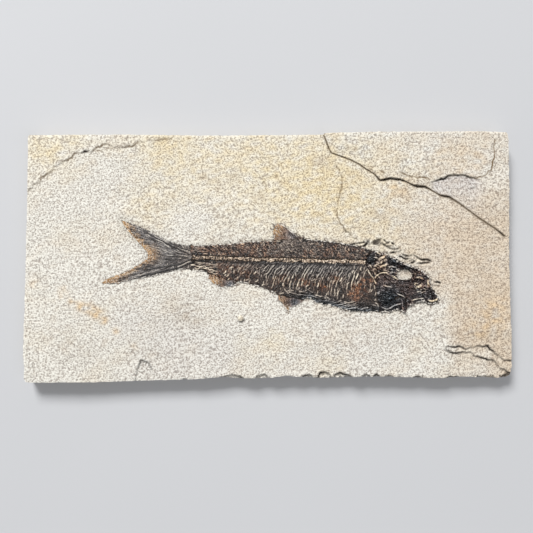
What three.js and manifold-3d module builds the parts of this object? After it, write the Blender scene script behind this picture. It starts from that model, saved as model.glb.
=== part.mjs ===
// A slab of pale laminated limestone with a flattened fossil fish in its face.
// Millimetres. X runs along the slab, Y across it, Z out of the face that holds the fish.
// The slab lies on its back: the back is at z = 0 and the outline is centred on the origin.
import * as THREE from "three";
import { mergeVertices } from "three/addons/utils/BufferGeometryUtils.js";
import Module from "manifold-3d";

const wasm = await Module();
wasm.setup();

// Driving dimensions
const slabLength = 332;
const slabHeight = 170;
const slabThickness = 12;
const edgeWear = 0.5;
const fit = 0.3;

// The fish lies in a shallow bed that is cut into the face.
const bedDepth = 1;
const bedClearance = 0.25;
const aboveEverything = 20;

// How far each surface of the fish stands above the face
const flankRise = 0.4;
const flankCrown = 0.6;
const crownReach = 34;
const boneRise = 0.55;
const backboneRise = 0.9;
const finRise = 0.25;
const rayRise = 0.4;
const headRise = 0.9;
const skullBoneRise = 0.9;

// Backbone
const backboneStart = -52;
const backboneEnd = 66;
const backboneHalfWidth = 1.5;
const backboneTailHeight = -1;
const backboneSlope = -0.0303;
const vertebraPitch = 3.1;

// Colours of the stone and of the fossil
const stoneColour = 0xdbd3c2;
const fragmentColour = 0xded3c0;
const fleshColour = 0x5a4c43;
const boneColour = 0xa08a6c;
const headColour = 0x443e3c;
const finColour = 0x7d6a58;

// The crack that parts the corner fragment from the slab, from the top edge to the right edge
const cornerCrack = [
  [38.7, 83.2], [43.4, 70.8], [46.2, 69.6], [56.2, 66], [61.8, 63.2], [67.3, 59.4], [72.9, 56],
  [76.8, 51.6], [84, 53], [90.8, 52], [95.3, 50.2], [99.7, 48], [108, 47], [113, 44], [118.6, 40.8],
  [124.2, 40], [130.9, 35.5], [139.7, 28.8], [145.2, 24.8], [156.3, 17.3], [161.8, 12.9],
];

// Outline of the slab without its corner, clockwise from the upper left
const slabOutline = [
  [-164, 82.4], [-163, 83.4], [-101, 83.6], [-32, 82.8], [23, 83.2],
  ...cornerCrack,
  [164.9, 10.6], [164.7, -20], [164.6, -45], [165.2, -53], [165.3, -76], [164, -83], [161, -84],
  [153, -84], [131, -83], [120, -84], [100, -83.5], [77, -82.5], [33, -83.2], [11, -81.6],
  [0.5, -83], [-21, -83.2], [-32, -82], [-47, -83.4], [-75, -84], [-118, -85], [-161.5, -85],
  [-164.4, -84.2], [-165.4, -82], [-165, -75], [-slabLength / 2, -67], [-165.6, -42], [-165, 6],
  [-164.3, 31],
];

// The corner fragment follows the same crack a little to the upper right, and stands higher.
const fragmentShift = [0.25, 0.3];
const fragmentRise = 1.9;
const fragmentFall = 0.009;
const fragmentOutline = [
  ...cornerCrack.map(([x, y]) => [x + fragmentShift[0], y + fragmentShift[1]]),
  [164.9, 11.2], [165.6, 12.6], [165.7, 22], [slabLength / 2, 50], [slabLength / 2, 79], [165.6, 83],
  [164.4, 84.3], [156, 84.8], [140, slabHeight / 2], [91, 84.8], [45, 84.3], [38.6, 84.2],
];

// A bed of the stone that has come away below a curved crack in the fragment
const fragmentLedge = [
  [112.6, 50], [118.8, 52.2], [124.4, 54], [130.7, 54.9], [135.7, 54], [142.4, 51.5], [151, 44],
  [143, 29.5], [130, 38], [119, 44],
];
const fragmentHairline = [
  [142.4, 51.5], [148, 53.5], [151.5, 56.2], [154.3, 60.2], [155.6, 65.8], [156.3, 72.6], [157.6, 80],
];
const fragmentThinCrack = [[92, 56.4], [98.6, 53.9], [107.6, 53.3], [111.6, 52.4]];

// A higher bed of the stone in the upper left corner
const upperLeftBed = [
  [-163.4, 44.4], [-155.6, 51.6], [-154.5, 55], [-149, 56.7], [-145, 61.8], [-139.4, 65.8],
  [-132, 70.8], [-124.2, 71.4], [-118.5, 73.2], [-111.7, 76.8], [-106, 75.4], [-100.3, 74.3],
  [-94.7, 74.8], [-84.5, 78.2], [-76, 82.6], [-162.8, 82.9], [-163.6, 82],
];
const upperLeftBedRise = 0.45;

// The bed that has come away from the fragment deepens from its lower to its upper side.
const fragmentLedgeDepth = 0.75;
const fragmentLedgeStart = 36;
const fragmentLedgeSpan = 16;

// A small lump that stands up below the fish
const pebble = { x: -19, y: -42.4, sunk: 0.2, halfLength: 2.6, halfWidth: 2.4, halfHeight: 1 };

const hairlineWidth = 0.5;
const hairlineDepth = 0.5;
const splinterHalfWidth = 1.1;
const splinterRise = 0.9;

// Two ledges that step down towards the lower right corner
const lowerRightLedges = [
  {
    drop: 0.55,
    edge: [
      [116, -63.4], [122.4, -63], [128.5, -62.8], [134.6, -64.1], [141.3, -62.5], [147.9, -62.8],
      [153.4, -66.8], [158.9, -71], [170, -74.5],
    ],
  },
  {
    drop: 1.1,
    edge: [
      [116, -63.8], [124.5, -67.2], [130, -67], [135, -66.2], [137.8, -67.8], [144.5, -70.6],
      [153.3, -72.8], [157, -76.2], [170, -83],
    ],
  },
];

const lowerLeftHairline = [[-90.8, -86], [-88.6, -75.6], [-86.4, -70.4], [-81.4, -72.6], [-79, -78]];
const upperLeftHairline = [[-168, 40], [-163.4, 44.4], [-155.6, 51.6], [-149, 56.7]];
const faintHairline = [
  [47.2, 63.4], [50, 57.2], [51.6, 50.4], [46.9, 33.6], [48, 24.7], [53.5, 16.8], [61, 9.5],
];

// Chips along the lower front edge: middle, half length and bite, all along the edge
const edgeChips = [
  [-24, 8, 1.7], [0, 5, 1.2], [13, 8, 2], [38, 4.5, 1.4], [51, 5.5, 1.7], [66, 5, 1.6], [82, 6, 1.8],
  [102, 9, 1.3], [131, 8, 1.5], [149, 5, 1.2], [163, 4, 2],
];
const chipSurfaceY = -83.6;

// Splinters of the stone that stand up beside the back of the head
const splinters = [
  [[64, 6.4], [69.2, 8.6], [75.6, 13.4]],
  [[71, 6.6], [76.6, 8.8], [80, 12.4]],
  [[78, 8.2], [83.4, 9.6], [88.2, 12.6]],
  [[86.6, 0.4], [93, 0.2], [99.8, 3]],
  [[95, -3.2], [103.4, -2.4], [112.4, -5.2]],
];

// Outline of the fish above the backbone, from the root of the tail to the head
const backOutline = [
  [-52.5, 6.8], [-40, 7.4], [-26, 8], [-12.5, 9.4], [-4, 10], [8, 10], [15, 10.6], [24, 11.3],
  [31, 10.5], [39, 9.7], [49, 8.3], [57, 7], [64, 5.4], [69.6, 3.6],
];

// Outline below the backbone, from the head back to the root of the tail
const bellyOutline = [
  [75, -38.5], [63.5, -38.8], [55.3, -38], [48.5, -36], [41.8, -34], [33, -32.5], [28.3, -29],
  [21.3, -29.6], [13.3, -28], [6.5, -26], [1, -24], [-4.5, -21.6], [-12.5, -19.2], [-21.5, -17],
  [-29.5, -15.6], [-35, -13.6], [-40.5, -11.4], [-50, -9.4], [-52.5, -8.6],
];

const tailOutline = [
  [-52.9, 6.9], [-62, 8.2], [-69, 10.7], [-77, 14.8], [-88.5, 20.6], [-100.2, 24.8], [-97, 18.8],
  [-92.5, 13.8], [-87.6, 8.8], [-84, 4.6], [-82, 1.2], [-82.4, -1.6], [-85.2, -3.8], [-89.5, -6.6],
  [-96.6, -10.5], [-104.2, -13.3], [-110, -15.7], [-113.4, -18.2], [-106.4, -18.6], [-98, -17.3],
  [-89.5, -15.4], [-78, -13.2], [-68, -10.9], [-60, -8.8], [-52.9, -8.8],
];
const tailRoot = [-55, -1.2];
const tailRootHalfHeight = 5.4;
const tailUpperTips = [[-96.5, 21.8], [-92.6, 17.4], [-88.8, 12.8], [-85, 8.4], [-82, 4.8], [-79.6, 1.8]];
const tailLowerTips = [
  [-108.5, -16.8], [-101, -14], [-94.5, -11.2], [-88.5, -8.2], [-84.5, -5.6], [-81, -2.4],
];

const dorsalOutline = [
  [4.2, 10.4], [3.2, 15.6], [4, 20.4], [6.7, 22], [10.8, 20.3], [15, 16.8], [19.6, 13.6], [23.8, 11.8],
  [15, 11],
];
const dorsalRays = {
  root: [20, 11.4],
  rootStep: [-2.6, -0.2],
  tips: [[18.8, 13.8], [14.8, 16.4], [11.6, 18.9], [8.4, 20.6], [5.4, 20], [4.2, 16.6]],
};

const analOutline = [
  [-40.6, -12.1], [-40.5, -15.8], [-37.8, -19.1], [-32.4, -21.2], [-27, -21], [-21.4, -19.6],
  [-22.2, -17.4], [-29.5, -16.1], [-35, -14.2],
];
const analRays = {
  root: [-24, -17.6],
  rootStep: [-2.8, 0.9],
  tips: [[-23.8, -19.2], [-28, -20.4], [-32, -20.6], [-35.6, -19.4], [-38.6, -17], [-39.8, -14.4]],
};

const pelvicOutline = [
  [6.5, -26.8], [7, -30.2], [10.4, -34.3], [13.2, -38.2], [14.5, -35], [18, -34.4], [22, -32.4],
  [23.4, -30], [13.3, -28.7],
];
const pelvicRays = {
  root: [20.8, -30.2],
  rootStep: [-2.6, 0.5],
  tips: [[19.4, -32.6], [16.4, -34], [13.6, -36], [11, -33.8], [8.6, -31]],
};

const skullOutline = [
  [70.9, 3.2], [75, 2.1], [79.8, 1], [83.2, -1.4], [90, -4.2], [96.9, -7], [102.3, -9], [107, -12.2],
  [110.4, -16.6], [111.6, -22.6], [112.6, -24.6], [108, -24.4], [100, -24], [92, -21.5], [86, -20.4],
  [78, -13.6], [69.5, -11], [67.2, -7.4], [67.2, -3],
];
const orbitOutline = [
  [88.6, -16.7], [93.2, -17.3], [97.8, -16.5], [98.2, -14], [96.8, -11.2], [94.4, -9.8], [90.9, -10],
  [88.6, -11.1], [87.1, -13.6],
];
const gillCoverOutline = [
  [69.7, -11.5], [77.8, -14], [85.8, -20.8], [91.7, -22], [92.2, -27], [93.5, -34], [92.8, -39.2],
  [87.4, -37.3], [82.6, -39], [76, -38.9], [74.9, -31], [72.9, -21],
];
const lowerJawOutline = [
  [92.1, -22.1], [100, -24.4], [108, -24.8], [113.2, -25.1], [116.3, -30.3], [114.8, -32.6],
  [111.5, -34], [108.7, -33.2], [104.7, -31.5], [99, -33], [96, -35], [94.2, -37], [94, -34],
  [92.6, -27],
];

// The bones that stand up from the head, each a line along its crest
const skullBones = [
  [[74, 1], [80, -1.4], [90, -6.4], [99, -9.6], [107, -13.4]],
  [[72, -3], [78, -4.4], [84, -7], [88, -9.6]],
  [[84.6, -14.6], [88, -9.8], [93.6, -8.6], [98.6, -12], [100, -17]],
  [[70, -8.6], [76, -10.2], [83, -13]],
  [[86, -19], [93, -20], [101, -19.4], [109.6, -18.6]],
  [[100, -22], [105.6, -20.6], [110.6, -21.4]],
];
const gillBones = [
  [[72.4, -14], [75.4, -21], [77.6, -30], [79, -37.4]],
  [[74, -18.6], [77.6, -16], [82, -19.4]],
  [[79.4, -24.6], [83.4, -31], [90.4, -35.6]],
  [[83, -23.4], [87, -28.4], [92, -31.6]],
  [[80, -34.6], [85, -36], [90.6, -37.6]],
];
const jawBones = [
  [[95.4, -26.4], [103, -27.6], [113, -27.2]],
  [[96, -33], [103, -29.8], [109.4, -30.4], [115, -29.4]],
];

// Height of the middle of the backbone at a place along the slab
function backboneHeight(x) {
  return backboneTailHeight + backboneSlope * (x - backboneStart);
}

// The flattened body is highest along the backbone and thins out towards its edges.
function flankSurface(x, y) {
  const fromBackbone = Math.abs(y - backboneHeight(x));
  return slabThickness + flankRise + flankCrown * Math.max(0, 1 - fromBackbone / crownReach);
}

// A flat surface at a height above the face
function level(height) {
  return () => slabThickness + height;
}

const plateFoot = level(bedClearance - bedDepth);
const bedFloor = level(-bedDepth);
const openAir = level(aboveEverything);

// The fragment's face falls away gently towards the right.
function fragmentSurface(x) {
  return slabThickness + fragmentRise - fragmentFall * (x - cornerCrack[0][0]);
}

// A closed three.js mesh as a solid that can be joined and cut
function solidOf(geometry) {
  geometry.deleteAttribute("normal");
  geometry.deleteAttribute("uv");
  const merged = mergeVertices(geometry, 1e-4);
  return new wasm.Manifold(
    new wasm.Mesh({
      numProp: 3,
      vertProperties: merged.attributes.position.array,
      triVerts: new Uint32Array(merged.index.array),
    }),
  );
}

function joined(solids) {
  return solids.reduce((whole, piece) => whole.add(piece));
}

// An upright prism over an outline, between two height functions
function prism(outline, foot, top, holeOutline) {
  const shape = new THREE.Shape(outline.map(([x, y]) => new THREE.Vector2(x, y)));
  if (holeOutline) {
    shape.holes.push(new THREE.Path(holeOutline.map(([x, y]) => new THREE.Vector2(x, y))));
  }
  const geometry = new THREE.ExtrudeGeometry(shape, { depth: 1, bevelEnabled: false });
  const corners = geometry.attributes.position;
  for (let i = 0; i < corners.count; i++) {
    const height = corners.getZ(i) > 0.5 ? top : foot;
    corners.setZ(i, height(corners.getX(i), corners.getY(i)));
  }
  return solidOf(geometry);
}

// A stone plate with worn edges, standing on z = 0
function stonePlate(outline) {
  const shape = new THREE.Shape(outline.map(([x, y]) => new THREE.Vector2(x, y)));
  const geometry = new THREE.ExtrudeGeometry(shape, {
    depth: slabThickness - 2 * edgeWear,
    bevelThickness: edgeWear,
    bevelSize: edgeWear,
    bevelOffset: -edgeWear,
    bevelSegments: 1,
  });
  return solidOf(geometry.translate(0, 0, edgeWear));
}

// A ridge with a sharp crest and pointed ends along a line of points.
// With its crest below its foot the same form is the V of a crack, to be cut away.
function ridge(path, halfWidth, foot, crest) {
  const vertices = [];
  const sections = path.map(([x, y], i) => {
    const isEnd = i === 0 || i === path.length - 1;
    if (isEnd) {
      const tip = vertices.push([x, y, foot(x, y)]) - 1;
      return { left: tip, right: tip, top: tip };
    }
    const [beforeX, beforeY] = path[i - 1];
    const [afterX, afterY] = path[i + 1];
    const length = Math.hypot(afterX - beforeX, afterY - beforeY);
    const sideX = (-(afterY - beforeY) / length) * halfWidth;
    const sideY = ((afterX - beforeX) / length) * halfWidth;
    const left = vertices.push([x + sideX, y + sideY, foot(x, y)]) - 1;
    const right = vertices.push([x - sideX, y - sideY, foot(x, y)]) - 1;
    const top = vertices.push([x, y, crest(x, y)]) - 1;
    return { left, right, top };
  });
  const faces = [];
  for (let i = 1; i < sections.length; i++) {
    const a = sections[i - 1];
    const b = sections[i];
    faces.push([a.left, a.top, b.top], [a.left, b.top, b.left]);
    faces.push([a.right, b.right, b.top], [a.right, b.top, a.top]);
    faces.push([a.left, b.left, b.right], [a.left, b.right, a.right]);
  }
  const [middleX, middleY] = path[1];
  const pointsDown = crest(middleX, middleY) < foot(middleX, middleY);
  const closed = faces
    .filter(([a, b, c]) => a !== b && b !== c && c !== a)
    .map(([a, b, c]) => (pointsDown ? [a, c, b] : [a, b, c]));
  const geometry = new THREE.BufferGeometry();
  geometry.setAttribute("position", new THREE.Float32BufferAttribute(vertices.flat(), 3));
  geometry.setIndex(closed.flat());
  return solidOf(geometry);
}

// A V-shaped crack of a given width and depth in a surface
function crack(path, width, depth, surface) {
  const opening = 0.5;
  const spread = (width / 2) * (1 + opening / depth);
  return ridge(path, spread, (x, y) => surface(x, y) + opening, (x, y) => surface(x, y) - depth);
}

// A bone or fin ray that stands up from a surface
function bone(path, halfWidth, rise, surface) {
  const sunk = 0.2;
  return ridge(path, halfWidth, (x, y) => surface(x, y) - sunk, (x, y) => surface(x, y) + rise);
}

// A lump with the proportions of a stretched octahedron
function lump(x, y, z, halfLength, halfWidth, halfHeight) {
  const geometry = new THREE.OctahedronGeometry(1);
  return solidOf(geometry.scale(halfLength, halfWidth, halfHeight).translate(x, y, z));
}

// An outline moved outwards by a margin, for the bed around a piece
function grown(outline, margin) {
  const points = outline.map(([x, y]) => new THREE.Vector2(x, y));
  const outwards = THREE.ShapeUtils.isClockWise(points) ? -1 : 1;
  const sharpest = 0.5;
  return points.map((point, i) => {
    const before = points[(i + points.length - 1) % points.length];
    const after = points[(i + 1) % points.length];
    const first = point.clone().sub(before).normalize();
    const second = after.clone().sub(point).normalize();
    const normal = new THREE.Vector2(first.y + second.y, -first.x - second.x).normalize();
    const turn = Math.max(sharpest, normal.x * first.y - normal.y * first.x);
    return [
      point.x + (normal.x * outwards * margin) / turn,
      point.y + (normal.y * outwards * margin) / turn,
    ];
  });
}

function between([x0, y0], [x1, y1], share) {
  return [x0 + (x1 - x0) * share, y0 + (y1 - y0) * share];
}

// Rays from a row of roots to a row of tips, each with a slight curve
function finRays(tips, rootAt, surface) {
  const halfWidth = 0.5;
  const bend = 0.4;
  return tips.map((tip, i) => {
    const root = rootAt(i);
    const [middleX, middleY] = between(root, tip, 0.45);
    return bone([root, [middleX, middleY + bend], tip], halfWidth, rayRise, surface);
  });
}

const backboneUpperEdge = (x) => [x, backboneHeight(x) + backboneHalfWidth + fit];
const backboneLowerEdge = (x) => [x, backboneHeight(x) - backboneHalfWidth - fit];

const flankStart = -52.5;
const backFlankOutline = [
  ...backOutline, [66.8, -2.6], backboneUpperEdge(backboneEnd), backboneUpperEdge(flankStart),
];
const ribCageOutline = [
  backboneLowerEdge(flankStart), backboneLowerEdge(backboneEnd), [66.8, -7.6], [69.2, -11.4],
  [72.4, -21], [74.4, -31],
  ...bellyOutline,
];
const backboneOutline = [
  [backboneStart, backboneHeight(backboneStart) - backboneHalfWidth],
  [backboneEnd, backboneHeight(backboneEnd) - backboneHalfWidth],
  [backboneEnd, backboneHeight(backboneEnd) + backboneHalfWidth],
  [backboneStart, backboneHeight(backboneStart) + backboneHalfWidth],
];

// Where the lower edge of the body is at a place along the slab
function bellyHeight(x) {
  const i = bellyOutline.findIndex(([pointX]) => pointX <= x);
  const [x1, y1] = bellyOutline[i];
  const [x0, y0] = bellyOutline[i - 1];
  return y0 + ((y1 - y0) * (x - x0)) / (x1 - x0);
}

function backHeight(x) {
  const i = backOutline.findIndex(([pointX]) => pointX >= x);
  const [x1, y1] = backOutline[i];
  const [x0, y0] = backOutline[i - 1];
  return y0 + ((y1 - y0) * (x - x0)) / (x1 - x0);
}

function slab() {
  const fishOutlines = [
    backFlankOutline, ribCageOutline, backboneOutline, tailOutline, dorsalOutline, analOutline,
    pelvicOutline, gillCoverOutline, lowerJawOutline,
  ];
  const beds = fishOutlines.map((outline) => prism(grown(outline, fit), bedFloor, openAir));
  beds.push(prism(grown(skullOutline, fit), bedFloor, openAir, grown(orbitOutline, -fit)));

  const ledges = lowerRightLedges.map(({ drop, edge }) => {
    const [startX] = edge[0];
    const [endX] = edge[edge.length - 1];
    const floor = (x) => slabThickness - (drop * (x - startX)) / (endX - startX);
    const beyond = -slabHeight;
    const outline = [...edge, [endX, beyond], [startX, beyond]];
    return prism(outline, floor, openAir);
  });

  const chips = edgeChips.map(([x, halfLength, bite]) =>
    lump(x, chipSurfaceY, slabThickness, halfLength, bite, bite * 1.6),
  );

  const face = level(0);
  const cracks = [
    crack(lowerLeftHairline, hairlineWidth, hairlineDepth, face),
    crack(upperLeftHairline, hairlineWidth, hairlineDepth, face),
    crack(faintHairline, hairlineWidth, hairlineDepth / 2, face),
  ];

  const { x, y, sunk, halfLength, halfWidth, halfHeight } = pebble;
  const standing = [
    prism(upperLeftBed, bedFloor, level(upperLeftBedRise)),
    lump(x, y, slabThickness - sunk, halfLength, halfWidth, halfHeight),
    ...splinters.map((path) => bone(path, splinterHalfWidth, splinterRise, face)),
  ];
  const stone = joined([stonePlate(slabOutline), ...standing]);
  return stone.subtract(joined([...beds, ...ledges, ...chips, ...cracks]));
}

function cornerFragment() {
  const floor = (x, y) => {
    const upwards = Math.min(1, Math.max(0, (y - fragmentLedgeStart) / fragmentLedgeSpan));
    return fragmentSurface(x) - fragmentLedgeDepth * upwards;
  };
  const ledge = prism(fragmentLedge, floor, openAir);
  const body = prism(fragmentOutline, level(-slabThickness), fragmentSurface);
  const cracks = [
    crack(fragmentHairline, hairlineWidth, hairlineDepth, fragmentSurface),
    crack(fragmentThinCrack, hairlineWidth, hairlineDepth, fragmentSurface),
  ];
  return body.subtract(joined([ledge, ...cracks]));
}

// The backbone: a low bar with one bead for each vertebra
function backbone() {
  const surface = level(backboneRise);
  const bar = prism(backboneOutline, plateFoot, surface);
  const count = Math.floor((backboneEnd - backboneStart) / vertebraPitch);
  const halfLength = vertebraPitch * 0.46;
  const halfWidth = backboneHalfWidth * 0.92;
  const halfHeight = 0.7;
  const vertebrae = Array.from({ length: count }, (_, i) => {
    const x = backboneStart + vertebraPitch * (i + 0.5);
    return lump(x, backboneHeight(x), surface(), halfLength, halfWidth, halfHeight);
  });
  return joined([bar, ...vertebrae]);
}

// The side of the fish above the backbone, with a spine and two scales over each vertebra
function backFlank() {
  const plate = prism(backFlankOutline, plateFoot, flankSurface);
  const relief = [];
  const lean = -0.9;
  const clear = 1;
  const longest = 5;
  const spine = { halfWidth: 0.4, rise: 0.4 };
  for (let x = backboneStart + 8; x < backboneEnd - 4; x += vertebraPitch) {
    const root = backboneHeight(x) + backboneHalfWidth + clear;
    const height = Math.min(backHeight(x - 4) - root - clear, longest);
    const tip = [x + lean * height, root + height];
    const path = [[x, root], between([x, root], tip, 0.4), tip];
    relief.push(bone(path, spine.halfWidth, spine.rise, flankSurface));
  }
  const scale = { halfLength: 1.4, halfWidth: 0.9, halfHeight: 0.35, fromEdge: 2.4 };
  for (let x = backboneStart + 6; x < backboneEnd - 6; x += vertebraPitch * 1.5) {
    const y = backHeight(x) - scale.fromEdge;
    relief.push(lump(x, y, flankSurface(x, y), scale.halfLength, scale.halfWidth, scale.halfHeight));
  }
  return joined([plate, ...relief]);
}

// The side below the backbone: ribs that sweep back from the backbone and turn down to the belly
function ribCage() {
  const plate = prism(ribCageOutline, plateFoot, flankSurface);
  const ribs = [];
  const ribHalfWidth = 0.55;
  const clear = 1;
  const reach = 0.86;
  for (let x = backboneStart + 10; x < backboneEnd; x += vertebraPitch) {
    const root = backboneHeight(x) - backboneHalfWidth - clear;
    const forward = (x - backboneStart) / (backboneEnd - backboneStart);
    const lean = 1.3 - 0.85 * forward;
    const foot = bellyHeight(Math.max(x - lean * 9, backboneStart + 4));
    const depth = (root - foot) * reach;
    const bend = [x - lean * depth * 0.5, root - depth * 0.45];
    const tip = [x - lean * depth * 0.72, root - depth];
    ribs.push(bone([[x, root], bend, tip], ribHalfWidth, boneRise, flankSurface));
  }
  return joined([plate, ...ribs]);
}

function fin(outline, rays) {
  const surface = level(finRise);
  const plate = prism(outline, plateFoot, surface);
  const rootAt = (i) => [rays.root[0] + rays.rootStep[0] * i, rays.root[1] + rays.rootStep[1] * i];
  return joined([plate, ...finRays(rays.tips, rootAt, surface)]);
}

function tailFin() {
  const surface = level(finRise);
  const plate = prism(tailOutline, plateFoot, surface);
  const [rootX, rootY] = tailRoot;
  const upperRoot = (i) => [rootX - i, rootY + tailRootHalfHeight - i];
  const lowerRoot = (i) => [rootX - i, rootY - tailRootHalfHeight + i];
  return joined([
    plate,
    ...finRays(tailUpperTips, upperRoot, surface),
    ...finRays(tailLowerTips, lowerRoot, surface),
  ]);
}

function headPlate(outline, bones, holeOutline) {
  const surface = level(headRise);
  const plate = prism(outline, plateFoot, surface, holeOutline);
  const halfWidth = 0.9;
  const rim = 0.05;
  const standing = bones.map((path) => bone(path, halfWidth, skullBoneRise, surface));
  const inside = prism(grown(outline, -rim), plateFoot, openAir, holeOutline);
  return joined([plate, joined(standing).intersect(inside)]);
}

// A named mesh with its own material
function part(name, solid, colour, roughness) {
  const { vertProperties, triVerts } = solid.getMesh();
  const geometry = new THREE.BufferGeometry();
  geometry.setAttribute("position", new THREE.BufferAttribute(vertProperties, 3));
  geometry.setIndex(new THREE.BufferAttribute(triVerts, 1));
  geometry.computeVertexNormals();
  const material = new THREE.MeshStandardMaterial({ color: colour, roughness, metalness: 0 });
  const mesh = new THREE.Mesh(geometry, material);
  mesh.name = name;
  return mesh;
}

const fossilFishSlab = new THREE.Group();
fossilFishSlab.add(part("slab", slab(), stoneColour, 0.9));
fossilFishSlab.add(part("corner_fragment", cornerFragment(), fragmentColour, 0.9));

const fish = new THREE.Group();
fish.add(part("backbone", backbone(), boneColour, 0.6));
fish.add(part("back_flank", backFlank(), fleshColour, 0.7));
fish.add(part("rib_cage", ribCage(), fleshColour, 0.7));
fish.add(part("skull", headPlate(skullOutline, skullBones, orbitOutline), headColour, 0.5));
fish.add(part("gill_cover", headPlate(gillCoverOutline, gillBones), headColour, 0.5));
fish.add(part("lower_jaw", headPlate(lowerJawOutline, jawBones), headColour, 0.5));
fish.add(part("dorsal_fin", fin(dorsalOutline, dorsalRays), finColour, 0.7));
fish.add(part("pelvic_fin", fin(pelvicOutline, pelvicRays), finColour, 0.7));
fish.add(part("anal_fin", fin(analOutline, analRays), finColour, 0.7));
fish.add(part("tail_fin", tailFin(), finColour, 0.7));
fossilFishSlab.add(fish);

export default fossilFishSlab;
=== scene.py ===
"""The looks of a slab of pale limestone with a flattened fossil fish in its face.

Lengths are in metres, in the model's frame: X along the slab, Y across it, Z out of the face.
Each solid is replaced by a fine surface in the same place, raised by height functions.
"""

import math

import bpy
import numpy as np
from mathutils import Matrix, Vector
from mathutils.geometry import delaunay_2d_cdt


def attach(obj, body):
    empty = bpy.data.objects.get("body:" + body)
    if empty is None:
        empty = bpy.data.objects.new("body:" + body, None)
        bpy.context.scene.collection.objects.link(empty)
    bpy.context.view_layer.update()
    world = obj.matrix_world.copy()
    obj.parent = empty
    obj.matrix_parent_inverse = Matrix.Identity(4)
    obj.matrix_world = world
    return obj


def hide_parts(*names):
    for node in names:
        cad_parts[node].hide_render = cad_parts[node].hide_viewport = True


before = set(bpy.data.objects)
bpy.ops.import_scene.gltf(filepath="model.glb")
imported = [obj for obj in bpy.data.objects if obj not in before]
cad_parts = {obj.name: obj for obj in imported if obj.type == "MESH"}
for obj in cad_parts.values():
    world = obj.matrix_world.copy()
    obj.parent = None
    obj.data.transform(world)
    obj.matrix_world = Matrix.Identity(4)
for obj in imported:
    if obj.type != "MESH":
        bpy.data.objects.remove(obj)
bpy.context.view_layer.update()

MM = 0.001
FACE = 12 * MM
FISH_FLOOR = 11.3 * MM

# Spacings of the points of the fine surfaces, and of the plain back of the stone
STONE_SPACING = 1.0 * MM
CORNER_SPACING = 0.75 * MM
SKIN_SPACING = 0.31 * MM
SPINE_SPACING = 0.26 * MM
HEAD_SPACING = 0.28 * MM
UNDERSIDE_SPACING = 6 * MM


def places(pairs):
    """Points that are written in millimetres, in metres."""
    return np.array(pairs, float) * MM


# The crack that parts the corner from the slab, from the top edge to the right edge
CORNER_CRACK = places([
    (38.7, 83.2), (43.4, 70.8), (46.2, 69.6), (56.2, 66), (61.8, 63.2), (67.3, 59.4), (72.9, 56),
    (76.8, 51.6), (84, 53), (90.8, 52), (95.3, 50.2), (99.7, 48), (108, 47), (113, 44), (118.6, 40.8),
    (124.2, 40), (130.9, 35.5), (139.7, 28.8), (145.2, 24.8), (156.3, 17.3), (161.8, 12.9),
])
SLAB_OUTLINE = np.vstack([
    places([(-164, 82.4), (-163, 83.4), (-101, 83.6), (-32, 82.8), (23, 83.2)]),
    CORNER_CRACK,
    places([
        (164.9, 10.6), (164.7, -20), (164.6, -45), (165.2, -53), (165.3, -76), (164, -83), (161, -84),
        (153, -84), (131, -83), (120, -84), (100, -83.5), (77, -82.5), (33, -83.2), (11, -81.6),
        (0.5, -83), (-21, -83.2), (-32, -82), (-47, -83.4), (-75, -84), (-118, -85), (-161.5, -85),
        (-164.4, -84.2), (-165.4, -82), (-165, -75), (-166, -67), (-165.6, -42), (-165, 6), (-164.3, 31),
    ]),
])
FRAGMENT_GAP = places((0.25, 0.3))
FRAGMENT_OUTLINE = np.vstack([
    CORNER_CRACK[:2] + FRAGMENT_GAP * 0.3, CORNER_CRACK[2:] + FRAGMENT_GAP,
    places([
        (164.9, 11.2), (165.6, 12.6), (165.7, 22), (166, 50), (166, 79), (165.6, 83), (164.4, 84.3),
        (156, 84.8), (140, 85), (91, 84.8), (45, 84.3), (38.6, 84.2),
    ]),
])
# How far the corner stands above the face at its left end, and how steeply that falls to the right
FRAGMENT_RISE = 1.9 * MM
FRAGMENT_FALL = 0.009

# Cracks and ledges of the stone
UPPER_LEFT_CRACK = places([
    (-168, 40), (-163.7, 44.1), (-159.9, 49.2), (-156.4, 49.6), (-154.5, 54.7), (-149.4, 56.6),
    (-146.7, 60.5), (-139.8, 65.6), (-134.3, 68), (-131.2, 71.1), (-126.2, 71.5), (-120.3, 72),
    (-115.7, 75.4), (-111.8, 77.2), (-107.1, 76.2), (-103.2, 74.6), (-99.2, 75), (-93, 75.3),
    (-88.3, 78.1), (-82, 79), (-67.2, 80.6), (-56, 86),
])
UPPER_LEFT_BRANCH = places([
    (-128.5, 71), (-124.5, 71.9), (-120.3, 72), (-114.9, 72.5), (-110.2, 73.2), (-107.1, 73.8),
    (-101.6, 73.4),
])
UPPER_LEFT_HOLE = places([(-127.4, 71.1), (-124.6, 72.1), (-122.2, 72.4)])
LEDGE_HIGH = places([
    (119.2, -63.7), (122.7, -62.8), (127.9, -62.5), (132.2, -63.3), (135.6, -64.2), (138.2, -63.4),
    (141.7, -62.8), (148.6, -62.7), (151.2, -65.2), (154.6, -67.8), (158, -70.8), (161.4, -71.5),
    (170, -73.5),
])
LEDGE_LOW = places([
    (119.2, -63.9), (121.3, -65.8), (124.3, -67.3), (128.6, -67.3), (133, -66.8), (136, -66.5),
    (139.9, -69), (145.9, -70.7), (151, -71.8), (154.5, -73.2), (156.2, -75.9), (157.8, -77.7),
    (161.3, -79.4), (164.3, -80.4), (170, -84),
])
FRAGMENT_CRACK = places([
    (112.2, 49.7), (118.4, 51.8), (124.6, 53.9), (130.8, 54.6), (136.9, 53.6), (143.1, 52.1),
    (149.3, 54.2), (153.7, 59.1), (155.5, 65.9), (155.9, 73.4), (157.2, 80),
])
FRAGMENT_THIN_CRACK = places([(90.2, 57.2), (96.3, 54.4), (102.4, 53.4), (111, 52.8)])
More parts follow.
